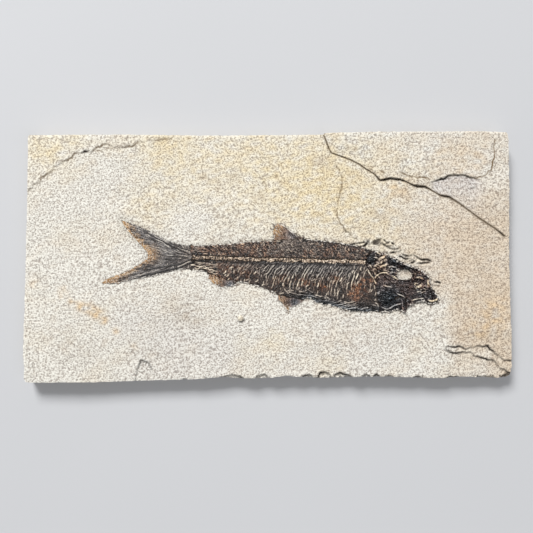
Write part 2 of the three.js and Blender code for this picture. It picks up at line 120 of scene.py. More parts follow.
FRAGMENT_CHIP = places([(76, 58.2), (80.9, 55.7)])
FRAGMENT_MARK = places([(137, 44.6), (140.5, 45.6), (143.6, 46.4)])
LOWER_LEFT_CRACK = places([(-90.8, -86), (-88.6, -75.6), (-86.4, -70.4), (-81.4, -72.6), (-79, -78)])
FAINT_CRACK = places([
    (46, 63.8), (49, 58.9), (50.8, 52.7), (50.7, 47.8), (48.6, 38), (46.8, 30.5), (48, 24.4),
    (52.8, 17), (57.7, 13.3), (62.5, 9),
])
FAINT_BRANCH = places([(44.3, 23.2), (46.7, 20.7), (48.4, 19.4)])
SMALL_MARK = places([(-33.8, -71.5), (-31, -72.5)])
PEBBLE = places((-19, -42.6))
PEBBLE_RADIUS = 2.3 * MM
PEBBLE_RISE = 1.5 * MM
PEBBLE_RING = PEBBLE + places([(-1.6, 0), (0, -1.6), (1.6, 0), (0, 1.6), (-1.6, 0)])

# Chips along the lower front edge: the crescents where they broke away
EDGE_CHIPS = [
    places(path) for path in [
        [(-35.4, -84.6), (-30.1, -81.3), (-24.8, -80.3), (-20, -81.8), (-16.9, -84.4)],
        [(-9.6, -84.4), (-8.1, -81.9), (-5.5, -80.4), (-2.4, -80.6), (0.6, -84)],
        [(1.5, -84.4), (8.6, -82.6), (13, -81.4), (17.4, -84.4)],
        [(19.1, -84.4), (24.4, -81.7), (29.7, -81.7), (31, -84.2)],
        [(31.5, -84), (36.4, -79), (41.2, -81.4), (43, -84.2)],
        [(43, -84), (44, -81.1), (49.2, -80.1), (53.6, -81.5), (58.6, -84.2)],
        [(60.6, -84.4), (64.2, -81.5), (67.7, -81.3), (69.4, -84)],
        [(69.6, -84.4), (73.9, -81.2), (78, -84)],
        [(77.9, -84.4), (82.7, -81.7), (85.4, -84.4)],
        [(95, -85), (101, -82.9), (108, -85)],
        [(118, -85), (124, -83), (132.6, -85)],
        [(141, -85.5), (146, -83), (151.6, -83.2), (155, -85.6)],
        [(158, -85.6), (161.4, -82.4), (166, -83.4)],
    ]
]

# Fish
SPINE_TAIL = places((-52, -1))
SPINE_SLOPE = -0.0303
SPINE_END = 66 * MM
SPINE_HALF = 1.5 * MM
VERTEBRA = 3.1 * MM
MOST_VERTEBRAE = 60
BACK_EDGE = places([
    (-52.5, 6.8), (-40, 7.4), (-26, 8), (-12.5, 9.4), (-4, 10), (8, 10), (15, 10.6), (24, 11.3),
    (31, 10.5), (39, 9.7), (49, 8.3), (57, 7), (64, 5.4), (69.6, 3.6),
])
BELLY_EDGE = places([
    (-52.5, -8.6), (-50, -9.4), (-40.5, -11.4), (-35, -13.6), (-29.5, -15.6), (-21.5, -17),
    (-12.5, -19.2), (-4.5, -21.6), (1, -24), (6.5, -26), (13.3, -28), (21.3, -29.6), (28.3, -29),
    (33, -32.5), (41.8, -34), (48.5, -36), (55.3, -38), (63.5, -38.8), (75, -38.5),
])
TAIL_OUTLINE = places([
    (-52.6, 6.9), (-62, 8.2), (-69, 10.7), (-77, 14.8), (-88.5, 20.6), (-100.2, 24.8), (-97, 18.8),
    (-92.5, 13.8), (-87.6, 8.8), (-84, 4.6), (-82, 1.2), (-82.4, -1.6), (-85.2, -3.8), (-89.5, -6.6),
    (-96.6, -10.5), (-104.2, -13.3), (-110, -15.7), (-113.4, -18.2), (-106.4, -18.6), (-98, -17.3),
    (-89.5, -15.4), (-78, -13.2), (-68, -10.9), (-60, -8.8), (-52.6, -8.8),
])
DORSAL_OUTLINE = places([
    (4.2, 10.4), (3.2, 15.6), (4, 20.4), (6.7, 22), (10.8, 20.3), (15, 16.8), (19.6, 13.6),
    (23.8, 11.8), (15, 11),
])
ANAL_OUTLINE = places([
    (-40.6, -12.1), (-40.5, -15.8), (-37.8, -19.1), (-32.4, -21.2), (-27, -21), (-21.4, -19.6),
    (-22.2, -17.4), (-29.5, -16.1), (-35, -14.2),
])
PELVIC_OUTLINE = places([
    (6.5, -26.8), (7, -30.2), (10.4, -34.3), (13.2, -38.2), (14.5, -35), (18, -34.4), (22, -32.4),
    (23.4, -30), (13.3, -28.7),
])
SKULL_OUTLINE = places([
    (70.9, 3.2), (75, 2.1), (79.8, 1), (83.2, -1.4), (90, -4.2), (96.9, -7), (102.3, -9), (107, -12.2),
    (110.4, -16.6), (111.6, -22.6), (112.6, -24.6), (108, -24.4), (100, -24), (92, -21.5), (86, -20.4),
    (78, -13.6), (69.5, -11), (67.2, -7.4), (67.2, -3),
])
ORBIT = places([
    (88.6, -16.7), (93.2, -17.3), (97.8, -16.5), (98.2, -14), (96.8, -11.2), (94.4, -9.8), (90.9, -10),
    (88.6, -11.1), (87.1, -13.6),
])
GILL_OUTLINE = places([
    (69.7, -11.5), (77.8, -14), (85.8, -20.8), (91.7, -22), (92.2, -27), (93.5, -34), (92.8, -39.2),
    (87.4, -37.3), (82.6, -39), (76, -38.9), (74.9, -31), (72.9, -21),
])
JAW_OUTLINE = places([
    (92.1, -22.1), (100, -24.4), (108, -24.8), (113.2, -25.1), (116.3, -30.3), (114.8, -32.6),
    (111.5, -34), (108.7, -33.2), (104.7, -31.5), (99, -33), (96, -35), (94.2, -37), (94, -34),
    (92.6, -27),
])


def waves(seed, length, spread=0.3, heading=None, turn=0.3, count=56):
    """A smooth random field with a variance of one: many waves of about one length.
    With a heading the waves run that way, so that the streaks lie across it."""
    draw = np.random.default_rng(seed)
    if heading is None:
        angle = draw.uniform(0, math.tau, count)
    else:
        angle = heading + draw.normal(0, turn, count)
    number = math.tau / (length * np.exp(draw.normal(0, spread, count)))
    phase = draw.uniform(0, math.tau, count)

    def field(at):
        total = np.zeros(len(at))
        for k, a, p in zip(number, angle, phase):
            total += np.cos(k * (math.cos(a) * at[:, 0] + math.sin(a) * at[:, 1]) + p)
        return total * math.sqrt(2 / count)

    return field


def smooth(value, low, high):
    """0 below low, 1 above high, with a soft turn between them."""
    t = np.clip((value - low) / (high - low), 0, 1)
    return t * t * (3 - 2 * t)


def bell(distance, width):
    """1 at no distance, and softly down to nothing over about two widths."""
    return np.exp(-((distance / width) ** 2))


def turning(a, b, c):
    """Above zero where three points turn to the left."""
    return (b[:, 0] - a[:, 0]) * (c[:, 1] - a[:, 1]) - (b[:, 1] - a[:, 1]) * (c[:, 0] - a[:, 0])


def ring(outline):
    """An outline with its first point again at its end."""
    return np.vstack([outline, outline[:1]])


def lengths_along(path):
    """How far along a path each of its points is."""
    return np.concatenate([[0], np.cumsum(np.hypot(*np.diff(path, axis=0).T))])


def sample(path, share):
    """The place at a share of a path's length."""
    along = lengths_along(path)
    return np.array([np.interp(share * along[-1], along, path[:, axis]) for axis in (0, 1)])


def resampled(path, spacing, closed=False):
    """A path as points at an even spacing."""
    line = ring(path) if closed else path
    along = lengths_along(line)
    count = max(2, int(round(along[-1] / spacing)))
    stops = np.linspace(0, along[-1], count + 1)
    if closed:
        stops = stops[:-1]
    return np.stack([np.interp(stops, along, line[:, axis]) for axis in (0, 1)], 1)


def rounded(path, steps=6):
    """A smooth curve through the points of a path."""
    knots = np.vstack([2 * path[0] - path[1], path, 2 * path[-1] - path[-2]])
    pieces = []
    for before, start, end, after in zip(knots, knots[1:], knots[2:], knots[3:]):
        t = np.linspace(0, 1, steps, endpoint=False)[:, None]
        tangent_in = (end - before) / 2
        tangent_out = (after - start) / 2
        pieces.append(
            (2 * t**3 - 3 * t**2 + 1) * start
            + (t**3 - 2 * t**2 + t) * tangent_in
            + (3 * t**2 - 2 * t**3) * end
            + (t**3 - t**2) * tangent_out
        )
    return np.vstack([*pieces, path[-1:]])


def beside(path, offset):
    """A path moved to its left by an offset."""
    direction = np.gradient(path, axis=0)
    direction /= np.hypot(*direction.T)[:, None]
    return path + offset * np.stack([-direction[:, 1], direction[:, 0]], 1)


def inside(points, outline):
    """Which points are within a closed outline."""
    crossings = np.zeros(len(points), bool)
    x, y = points.T
    for (x0, y0), (x1, y1) in zip(outline, np.roll(outline, -1, axis=0)):
        if y0 == y1:
            continue
        between = (y0 > y) != (y1 > y)
        crossings ^= between & (x < (x1 - x0) * (y - y0) / (y1 - y0) + x0)
    return crossings


def path_distance(points, path):
    """For each point: its distance to a path, how far along the path that is, and its side,
    which is 1 on the left and -1 on the right."""
    nearest = np.full(len(points), np.inf)
    along = np.zeros(len(points))
    side = np.ones(len(points))
    start = 0.0
    for a, b in zip(path[:-1], path[1:]):
        length = math.hypot(*(b - a))
        if length == 0:
            continue
        unit = (b - a) / length
        relative = points - a
        reach = np.clip(relative @ unit, 0, length)
        offset = np.hypot(*(relative - reach[:, None] * unit).T)
        closer = offset < nearest
        nearest[closer] = offset[closer]
        along[closer] = start + reach[closer]
        turn = unit[0] * relative[:, 1] - unit[1] * relative[:, 0]
        side[closer] = np.where(turn[closer] >= 0, 1, -1)
        start += length
    return nearest, along, side


# More square cells than any surface has in a row, so that each cell gets a number of its own
CELLS_IN_A_ROW = 100003


def close_to(points, fixed, gap):
    """Which points are within about a gap of any of some fixed points."""
    def cell(at, shift=(0, 0)):
        corner = np.floor(at / gap).astype(int) + shift
        return corner[:, 0] * CELLS_IN_A_ROW + corner[:, 1]

    shifts = [(i, j) for i in (-1, 0, 1) for j in (-1, 0, 1)]
    taken = np.concatenate([cell(fixed, shift) for shift in shifts])
    return np.isin(cell(points), taken)


def apart(points, fixed, gap):
    """The points that keep clear of some fixed points."""
    return points[~close_to(points, fixed, gap)]


def crossed(loop, reach=14, margin=3):
    """The points of a closed loop that are near a place where it crosses itself."""
    near = np.zeros(len(loop), bool)
    ahead = np.roll(loop, -1, axis=0)
    for apart_by in range(2, reach):
        other, other_ahead = np.roll(loop, -apart_by, axis=0), np.roll(ahead, -apart_by, axis=0)
        across = turning(loop, ahead, other) * turning(loop, ahead, other_ahead) <= 0
        back = turning(other, other_ahead, loop) * turning(other, other_ahead, ahead) <= 0
        for index in np.flatnonzero(across & back):
            near[np.arange(index - margin, index + apart_by + margin + 1) % len(loop)] = True
    return near


def roughened(loop, shift):
    """A closed loop with its points shifted, but for those where it would then cross itself."""
    rough = loop + shift
    near = crossed(rough)
    while near.any():
        rough[near] = loop[near]
        again = crossed(rough)
        if not (again & ~near).any():
            break
        near |= again
    return rough


# A honeycomb's distance between rows and the random shift of its points, as shares of its spacing
ROW_SHARE = 0.866
SHIFT_SHARE = 0.24


def honeycomb(outline, spacing):
    """Points in rows within an outline, each row half a step aside from the last."""
    low, high = outline.min(0), outline.max(0)
    rows = np.arange(low[1], high[1], spacing * ROW_SHARE)
    columns = np.arange(low[0], high[0], spacing)
    x, y = np.meshgrid(columns, rows)
    x[1::2] += spacing / 2
    grid = np.stack([x.ravel(), y.ravel()], 1)
    draw = np.random.default_rng(len(grid))
    grid += draw.uniform(-SHIFT_SHARE, SHIFT_SHARE, grid.shape) * spacing
    return grid[inside(grid, outline)]


def triangulated(points, loops, hole=None):
    """Triangles between points, within the first loop of them."""
    edges = []
    for start, count in loops:
        edges += [(start + i, start + (i + 1) % count) for i in range(count)]
    _, _, faces, sources, *_ = delaunay_2d_cdt([Vector(p) for p in points], edges, [], 1, 1e-9)
    source = np.array([ids[0] for ids in sources])
    triangles = source[np.array(faces)]
    if hole is not None:
        triangles = triangles[~inside(points[triangles].mean(1), hole)]
    turn = turning(*(points[triangles[:, corner]] for corner in range(3)))
    triangles[turn < 0] = triangles[turn < 0][:, ::-1]
    return triangles[turn != 0]


# Masks of marks that are only on the face, and how fast they fade down the sides
SURFACE_MARKS = ("dark", "seam", "film", "bone", "tone", "bare", "smudge")
SURFACE_FADE = 12
SHARP_EDGE = math.radians(62)


class Shell:
    """The points, faces and mask values of a mesh, added part by part."""

    def __init__(self, masks):
        self.points = []
        self.faces = []
        self.values = {mask: [] for mask in masks}
        self.count = 0

    def add(self, at, height, values):
        """Adds points with their mask values, and gives back their numbers."""
        self.points.append(np.column_stack([at, np.broadcast_to(height, len(at))]))
        for mask, parts in self.values.items():
            parts.append(np.broadcast_to(values[mask], len(at)))
        self.count += len(at)
        return np.arange(self.count - len(at), self.count)

    def piece(self, name):
        """The object that the points and faces make."""
        mesh = bpy.data.meshes.new(name)
        mesh.from_pydata(np.vstack(self.points).tolist(), [], np.vstack(self.faces).tolist())
        mesh.update()
        for mask, parts in self.values.items():
            layer = mesh.attributes.new(mask, "FLOAT", "POINT")
            layer.data.foreach_set("value", np.concatenate(parts))
        mesh.shade_smooth()
        mesh.set_sharp_from_angle(angle=SHARP_EDGE)
        piece = bpy.data.objects.new(name, mesh)
        bpy.context.scene.collection.objects.link(piece)
        return piece


class Relief:
    """A surface within an outline, with a height and some masks at each of its points."""

    def __init__(self, outline, spacing, seams=(), sparse=None, fine=None, hole=None, jitter=None):
        """Seams are rows of points that are kept as they are. Sparse is an outline within which the
        points lie further apart, and fine holds points near which they lie closer together."""
        edge = resampled(outline, spacing, closed=True)
        if jitter:
            edge = roughened(edge, jitter(edge))
        area = edge[:, 0] @ np.roll(edge[:, 1], -1) - edge[:, 1] @ np.roll(edge[:, 0], -1)
        self.edge = edge if area > 0 else edge[::-1]
        self.rim = rim = resampled(hole, spacing, closed=True) if hole is not None else np.zeros((0, 2))
        borders = np.vstack([self.edge, rim])
        fixed = [seam[inside(seam, self.edge)] for seam in seams]
        fixed = apart(np.vstack(fixed), borders, spacing * 0.4) if fixed else np.zeros((0, 2))
        grid = honeycomb(self.edge, spacing)
        if fine is not None:
            rims, reach, narrow = fine
            extra = honeycomb(self.edge, narrow)
            grid = np.vstack([grid[~close_to(grid, rims, reach)], extra[close_to(extra, rims, reach)]])
        if sparse is not None:
            inner, wide = sparse
            grid = np.vstack([grid[~inside(grid, inner)], honeycomb(inner, wide)])
        if hole is not None:
            grid = grid[~inside(grid, rim)]
        grid = apart(grid, np.vstack([borders, fixed]), spacing * 0.45)
        self.at = np.vstack([borders, fixed, grid])
        loops = [(0, len(self.edge))]
        if len(rim):
            loops.append((len(self.edge), len(rim)))
        self.faces = triangulated(self.at, loops, rim if len(rim) else None)
        self.z = np.full(len(self.at), FACE)
        self.masks = {}

    def mask(self, name):
        """A mask by name, made on its first use."""
        if name not in self.masks:
            self.masks[name] = np.zeros(len(self.at))
        return self.masks[name]

    def near(self, path, reach):
        """The points near a path, with their distances to it and places along it."""
        low, high = path.min(0) - reach, path.max(0) + reach
        chosen = np.flatnonzero(np.all((self.at > low) & (self.at < high), axis=1))
        distance, along, _ = path_distance(self.at[chosen], path)
        close = distance < reach
        return chosen[close], distance[close], along[close]

    def ridge(self, path, width, rise, tone=None, strength=1.0, taper=2 * MM, shade=0.0):
        """Raises a bone along a path, thin and worn in places, with a groove beside it that is painted dark
        as shade.
        """
        if len(path) > 2:
            path = rounded(path)
        path = path + bone_wander(path)
        chosen, distance, along = self.near(path, width * 2.2)
        total = lengths_along(path)[-1]
        ends = np.clip(np.minimum(along, total - along) / min(taper, total / 2) + 0.25, 0, 1)
        crest = np.clip(1 - (distance / width) ** 2, 0, 1) * ends
        ends *= 0.5 + 0.5 * smooth(BONE_WEAR(self.at[chosen]), -1.5, -0.3)
        groove = smooth(distance, width * 0.8, width * 1.3) * smooth(width * 2.2 - distance, 0, width * 0.6)
        self.z[chosen] += rise * (crest - 0.35 * groove * ends)
        if tone is not None:
            level = self.mask("tone")
            blend = np.clip(crest * 1.6, 0, 1) * strength
            level[chosen] += (tone - level[chosen]) * blend
            # Painted shade: the groove beside the bone is darkened by the shade factor
            level[chosen] -= level[chosen] * shade * groove * ends

    def lay_bare(self, outline, width, seed):
        """Lets the stone show through along the worn edges that no other part of the fish meets."""
        distance, _, _ = path_distance(self.at, ring(outline))
        others = [resampled(line, 0.5 * MM, closed=True) for line in FISH_OUTLINES if line is not outline]
        meets = close_to(self.at, np.vstack(others), 1.3 * MM)
        reach = width * (0.7 + 0.6 * waves(seed, 2.4 * MM, spread=0.4)(self.at))
        self.mask("bare")[:] = smooth(reach - distance, 0, 0.5 * width) * ~meets

    def wall(self, shell, first, loop, foot, rows, inset):
        """Rows of points from a border of the surface down to the foot, closer together at the top.
        Gives back the last row and the numbers of its points."""
        direction = np.roll(loop, -1, axis=0) - np.roll(loop, 1, axis=0)
        direction /= np.hypot(*direction.T)[:, None]
        outward = np.stack([direction[:, 1], -direction[:, 0]], 1)
        border = last = np.arange(first, first + len(loop))
        top = self.z[border]
        for row in range(1, rows + 1):
            share = (row / rows) ** (1.25 if inset else 1.6)
            height = top + (foot - top) * share
            at = roughened(loop, -outward * inset(loop, top - height)[:, None]) if inset else loop
            values = {"wall": 1.0}
            for key, value in self.masks.items():
                kept = max(0, 1 - SURFACE_FADE * share) if key in SURFACE_MARKS else 1
                values[key] = value[border] * kept
            new = shell.add(at, height, values)
            after, new_after = np.roll(last, -1), np.roll(new, -1)
            shell.faces += [np.stack([last, new, new_after], 1), np.stack([last, new_after, after], 1)]
            last = new
        return at, last

    def build(self, name, foot, rows=3, inset=None, wide=None):
        """A closed mesh: the surface, walls down to a flat foot, and a flat back."""
        shell = Shell([*self.masks, "wall"])
        shell.add(self.at, self.z, {**self.masks, "wall": 0.0})
        shell.faces.append(self.faces)
        borders = [(0, self.edge)] + ([(len(self.edge), self.rim)] if len(self.rim) else [])
        feet = [self.wall(shell, first, loop, foot, rows, inset) for first, loop in borders]
        at = np.vstack([row for row, _ in feet])
        index = np.concatenate([numbers for _, numbers in feet])
        if wide:
            spread = apart(honeycomb(feet[0][0], wide), at, wide * 0.3)
            values = {key: 0.0 if key in SURFACE_MARKS else value.mean() for key, value in self.masks.items()}
            index = np.concatenate([index, shell.add(spread, foot, {**values, "wall": 1.0})])
            at = np.vstack([at, spread])
        loops = [(first, len(loop)) for first, loop in borders]
        back = triangulated(at, loops, feet[1][0] if len(feet) > 1 else None)
        shell.faces.append(index[back][:, ::-1])
        return shell.piece(name)


def ragged(seed, wide, fine):
    """A function that gives a small uneven shift for each point of an edge."""
    fields = [
        (waves(seed, 6 * MM), waves(seed + 1, 6 * MM), wide),
        (waves(seed + 2, 1.8 * MM), waves(seed + 3, 1.8 * MM), fine),
    ]

    def shift(at):
        return sum(size * np.stack([along(at), across(at)], 1) for along, across, size in fields)

    return shift


# The pecked grain of the stone's face and its gentle swell
SWELL = waves(11, 85 * MM)
WAVE = waves(12, 21 * MM)
PECK = waves(13, 2.7 * MM, spread=0.35)
PECK_STREAK = waves(14, 2.4 * MM, spread=0.3, heading=2.4, turn=0.6)
PECK_DEPTH = 0.085 * MM
SIDE_GRAIN = waves(15, 3.5 * MM, spread=0.4)
stone_edge = ragged(21, 0.08 * MM, 0.02 * MM)
fish_edge = ragged(31, 0.22 * MM, 0.1 * MM)
crack_wander = ragged(25, 0.3 * MM, 0.12 * MM)
bone_wander = ragged(38, 0.16 * MM, 0.02 * MM)
BONE_WEAR = waves(37, 3.2 * MM, spread=0.4)

# Tints of the stone: place, radius and strength of each soft patch, in millimetres
YELLOW_PATCHES = [
    (-152, 72, 16, 0.6), (-128, 84, 12, 0.4), (-72, 80, 18, 0.4), (-60, 60, 34, 0.3), (0, 62, 42, 0.5),
    (45, 52, 30, 0.5), (-85, 32, 14, 0.3), (60, 25, 26, 0.35), (92, 55, 28, 0.25), (20, 28, 26, 0.2),
    (-17, -60, 9, 0.25), (4, -58, 9, 0.35), (42, -74, 9, 0.3), (82, 14, 14, 0.35), (100, 2, 9, 0.3),
]
OCHRE_PATCHES = [
    (-159, -19, 2.5, 0.5), (-140, -24, 4, 0.3), (-133, -31, 3, 0.5), (-127, -34, 3, 0.7),
    (-121, -36, 3.5, 0.7), (-116, -39, 3, 0.6), (-112, -43, 2.5, 0.7), (-104, -51, 3, 0.3),
    (-92, -62, 2.5, 0.3), (152, -44, 11, 0.22), (142, -54, 8, 0.15), (157, -34, 9, 0.15),
    (76, 31, 1.6, 0.6), (128, 62, 14, 0.12), (145, 66, 6, 0.12), (90, 44, 9, 0.2),
]
GREY_PATCHES = [(-67, -62, 26, 0.35), (-30, -66, 18, 0.25), (-95, -40, 14, 0.2), (60, -60, 30, 0.15)]
SMUDGES = [
    (37, 65, 3.5, 0.6), (33, 64, 2.5, 0.4), (-43, 54, 4, 0.3), (-33, 48, 4, 0.3), (-23, 55, 5, 0.3),
    (-5, 40, 4, 0.35), (77, 28, 4, 0.6), (94, 45, 5, 0.35), (-104, 0, 2.2, 0.6), (-76, 33, 2.5, 0.4),
    (-62, -37, 10, 0.3), (-52, -40, 9, 0.25), (-138, -58, 10, 0.2), (-120, -66, 10, 0.15),
    (143, 66, 4, 0.2),
]
# The stone turns tan to the right: where that begins, and over what width, at two heights across it
TAN_TURN = places((-30, -12))
TAN_START = places((118, 60))
TAN_WIDTH = places((13, 80))


def gentle_swell(at):
    """The low swell that the stone and the flattened body share."""
    return 0.2 * MM * SWELL(at) + 0.08 * MM * WAVE(at)


def stone_grain(relief):
    """Pecked pits and small ridges all over the stone."""
    at = relief.at
    streaky = smooth(at[:, 0] + at[:, 1], 60 * MM, -60 * MM)
    grain = (1 - 0.4 * streaky) * PECK(at) + 0.7 * streaky * PECK_STREAK(at)
    relief.z += gentle_swell(at) + PECK_DEPTH * grain
    relief.mask("grain")[:] = grain


def blobs(at, spots):
    """Soft round patches: place, radius and strength of each, in millimetres."""
    total = np.zeros(len(at))
    for x, y, radius, strength in spots:
        distance = np.hypot(at[:, 0] - x * MM, at[:, 1] - y * MM)
        total += strength * bell(distance, radius * MM)
    return total


def stone_tints(relief):
    """Where the stone is yellow, tan, ochre or smudged grey-brown."""
    at = relief.at
    x, y = at.T
    cloud = waves(41, 40 * MM, spread=0.5)(at)
    patch = waves(42, 9 * MM, spread=0.5)(at)
    relief.mask("yellow")[:] = np.clip(blobs(at, YELLOW_PATCHES) * (1 + 0.25 * patch) + 0.05 * cloud, 0, 1)
    tan = smooth((x - np.interp(y, TAN_TURN, TAN_START)) / np.interp(y, TAN_TURN, TAN_WIDTH), 0, 1)
    tan += 0.25 * smooth(x, -20 * MM, 60 * MM)
    ledges = smooth(-y, 58 * MM, 66 * MM) * smooth(165 * MM - x, 0, 25 * MM)
    tan *= 1 - 0.6 * smooth(y, 10 * MM, 60 * MM) - 0.55 * ledges
    relief.mask("tan")[:] = np.clip(0.75 * tan + 0.06 * cloud + 0.08 * patch, 0, 1)
    relief.mask("grey")[:] = np.clip(blobs(at, GREY_PATCHES), 0, 1)
    relief.mask("stain")[:] = np.clip(blobs(at, OCHRE_PATCHES) * (1 + 0.5 * patch), 0, 1)
    relief.mask("smudge")[:] = np.clip(blobs(at, SMUDGES) * (1 + 0.4 * patch), 0, 1)


def darken(relief, chosen, strength, tint="dark"):
    """Deepens the shade of a crack or hollow, where it isn't darker already."""
    mask = relief.mask(tint)
    mask[chosen] = np.maximum(mask[chosen], strength)


def uneven(path):
    """A crack's path with small bends."""
    line = resampled(path, 0.9 * MM)
    return line + crack_wander(line)


def step(relief, path, rise, width=0.14 * MM, reach=120 * MM):
    """Lifts what lies to the left of a path, by a height at each place."""
    low, high = path.min(0) - reach, path.max(0) + reach
    chosen = np.flatnonzero(np.all((relief.at > low) & (relief.at < high), axis=1))
    distance, _, side = path_distance(relief.at[chosen], path)
    relief.z[chosen] += rise(relief.at[chosen]) * smooth(side * distance, -width, width)


def hairline(relief, path, width, depth, darkness=0.8, taper=4 * MM, variation=0.35, tint="dark"):
    """A narrow crack of varying width that fades at its ends, painted dark as shade within it."""
    chosen, distance, along = relief.near(path, width * 2)
    total = lengths_along(path)[-1]
    fade = np.clip(np.minimum(along, total - along) / taper + 0.25, 0, 1)
    fade *= 1 - variation + variation * np.sin(along / (3.7 * MM) + path[0, 0] / MM)
    shape = np.clip(1 - distance / (width * (0.6 + 0.6 * fade)), 0, 1)
    relief.z[chosen] -= depth * shape * fade
    # Painted shade in the crack
    darken(relief, chosen, np.clip(shape * 1.8, 0, 1) * fade * darkness, tint)


def seam(path, offsets, spacing=0.5 * MM):
    """Rows of points along a crack."""
    line = resampled(path, spacing)
    return [beside(line, offset * MM) for offset in offsets]


def edge_wear(relief, wear):
    """Rounds off the edge of a stone's face."""
    distance, _, _ = path_distance(relief.at, ring(relief.edge[::3]))
    fall = np.clip(1 - distance / (wear * 2.2), 0, 1) ** 2
    relief.z -= wear * fall
    grain = relief.mask("grain")
    grain += (0.9 - grain) * smooth(1.6 * MM - distance, 0, 1.2 * MM)


def chip_lower_edge(relief):
    """Breaks crescents out of the lower front edge, each with painted shade along its back wall and in
    pockets, and a pale floor.
    """
    for arc in EDGE_CHIPS:
        line = uneven(rounded(arc))
        low = np.flatnonzero(inside(relief.at, line))
        distance, _, _ = path_distance(relief.at[low], line)
        relief.z[low] -= 1.6 * MM * smooth(distance, 0, 0.8 * MM) + 0.3 * MM * PECK(relief.at[low])
        # Painted shade in pockets near the chip's back wall
        pocket_shade = smooth(PECK_STREAK(relief.at[low]), 0.1, 0.8) * smooth(2.2 * MM - distance, 0, 1 * MM)
        darken(relief, low, 0.5 * pocket_shade)
        hairline(relief, line, 0.72 * MM, 0.5 * MM, 1.0, taper=4 * MM, variation=0.35)
    # Notches along the rest of the edge: lowered, and painted dark as shade
    low = np.flatnonzero((relief.at[:, 1] < -82.6 * MM) & (relief.at[:, 0] > -70 * MM))
    notches = smooth(waves(52, 5 * MM, spread=0.6)(relief.at[low]), 0.4, 1.1)
    notches *= smooth(relief.at[low, 0], -75 * MM, -45 * MM)
    relief.z[low] -= 1.2 * MM * notches
    darken(relief, low, 0.6 * notches)


def spine(x):
    """The height of the backbone's middle across the slab, at a place along it."""
    return SPINE_TAIL[1] + SPINE_SLOPE * (x - SPINE_TAIL[0])


def back_height(x):
    """The height of the fish's upper edge, at a place along it."""
    return np.interp(x, BACK_EDGE[:, 0], BACK_EDGE[:, 1])


def belly_height(x):
    """The height of the fish's lower edge, at a place along it."""
    return np.interp(x, BELLY_EDGE[:, 0], BELLY_EDGE[:, 1])


def line_along_spine(start, end, offset, step_length=4 * MM):
    """A line beside the middle of the backbone, at an even offset across the slab."""
    count = int(abs(end - start) / step_length)
    x = np.linspace(start, end, count + 1)
    return np.column_stack([x, spine(x) + offset])


BODY_GAP = 0.06 * MM
BACK_OUTLINE = np.vstack([
    BACK_EDGE, places([(67.2, -2.6)]), line_along_spine(SPINE_END, BACK_EDGE[0, 0], SPINE_HALF + BODY_GAP),
])
RIB_OUTLINE = np.vstack([
    BELLY_EDGE, places([(74.7, -31), (72.7, -21), (69.4, -11.4), (67, -7.6)]),
    line_along_spine(SPINE_END, BELLY_EDGE[0, 0], -SPINE_HALF - BODY_GAP),
])
SPINE_OUTLINE = np.vstack([
    line_along_spine(SPINE_TAIL[0], SPINE_END, -SPINE_HALF),
    line_along_spine(SPINE_END, SPINE_TAIL[0], SPINE_HALF),
])
FISH_OUTLINES = [
    BACK_OUTLINE, RIB_OUTLINE, SPINE_OUTLINE, TAIL_OUTLINE, DORSAL_OUTLINE, ANAL_OUTLINE, PELVIC_OUTLINE,
    SKULL_OUTLINE, GILL_OUTLINE, JAW_OUTLINE,
]


def rough_side(loop, depth):
    """How far the split side of the stone stands in, at a depth below its edge: beds and broken bits."""
    thin_beds = 0.14 * np.sin(depth / (0.75 * MM) + WAVE(loop))
    thick_beds = 0.15 * np.sin(depth / (1.9 * MM) + 1 + 0.5 * SWELL(loop))
    broken = 0.3 * SIDE_GRAIN(loop + depth[:, None] * (1.7, 1.1))
    return (0.35 + thin_beds + thick_beds + broken) * MM * smooth(depth, 0, 1.2 * MM)


def fossil_film(relief):
    """The dark film that the fish left on the stone under it and a little beyond its edges.
    Gives back the points that lie just beyond the edges."""
    x, y = relief.at.T
    chosen = np.flatnonzero((x > -120 * MM) & (x < 124 * MM) & (np.abs(y + 6 * MM) < 42 * MM))
    at = relief.at[chosen]
    covered = np.zeros(len(at), bool)
    parts_beside = np.zeros(len(at), int)
    distance = np.full(len(at), np.inf)
    for outline in FISH_OUTLINES:
        covered |= inside(at, outline)
        from_outline, _, _ = path_distance(at, ring(outline))
        parts_beside += from_outline < 1.2 * MM
        distance = np.minimum(distance, from_outline)
    covered |= parts_beside > 1
    socket = inside(at, ORBIT)
    reach = (0.7 + 0.4 * WAVE(at)) * MM
    reach += 1.8 * MM * smooth(at[:, 0], 20 * MM, -30 * MM) * smooth(at[:, 1], -6 * MM, 4 * MM)
    halo = 0.18 * bell(distance, np.maximum(reach, 0.4 * MM))
    relief.mask("film")[chosen] = np.where(socket, 0.1, np.where(covered, 1.0, halo))
    return chosen[~covered & ~socket & (parts_beside == 1)]


def stray_bones(relief, beside_fish):
    """Bits of bone and dark gaps across the edges of the fish."""
    where = np.zeros(len(relief.at), bool)
    where[beside_fish] = True
    where &= relief.at[:, 0] > -30 * MM

    def heading(place):
        return math.radians(215 if place[1] < -8 * MM else 150)

    splinters(relief, 57, 70, heading, 0.4, 3.0 * MM, 0.35 * MM, 0.3 * MM, (0.5, 0.9), 0.9, where)
    relief.mask("bone")[:] = np.clip(relief.mask("tone"), 0, 1)
    draw = np.random.default_rng(58)
    for start in draw.choice(np.flatnonzero(where), 90):
        place = relief.at[start]
        angle = heading(place) + draw.normal(0, 0.4)
        half = draw.uniform(0.6, 1.8) * MM * np.array([math.cos(angle), math.sin(angle)])
        hairline(relief, np.array([place - half, place, place + half]), 0.4 * MM, 0.2 * MM, 0.9, 2 * MM, 0.1)
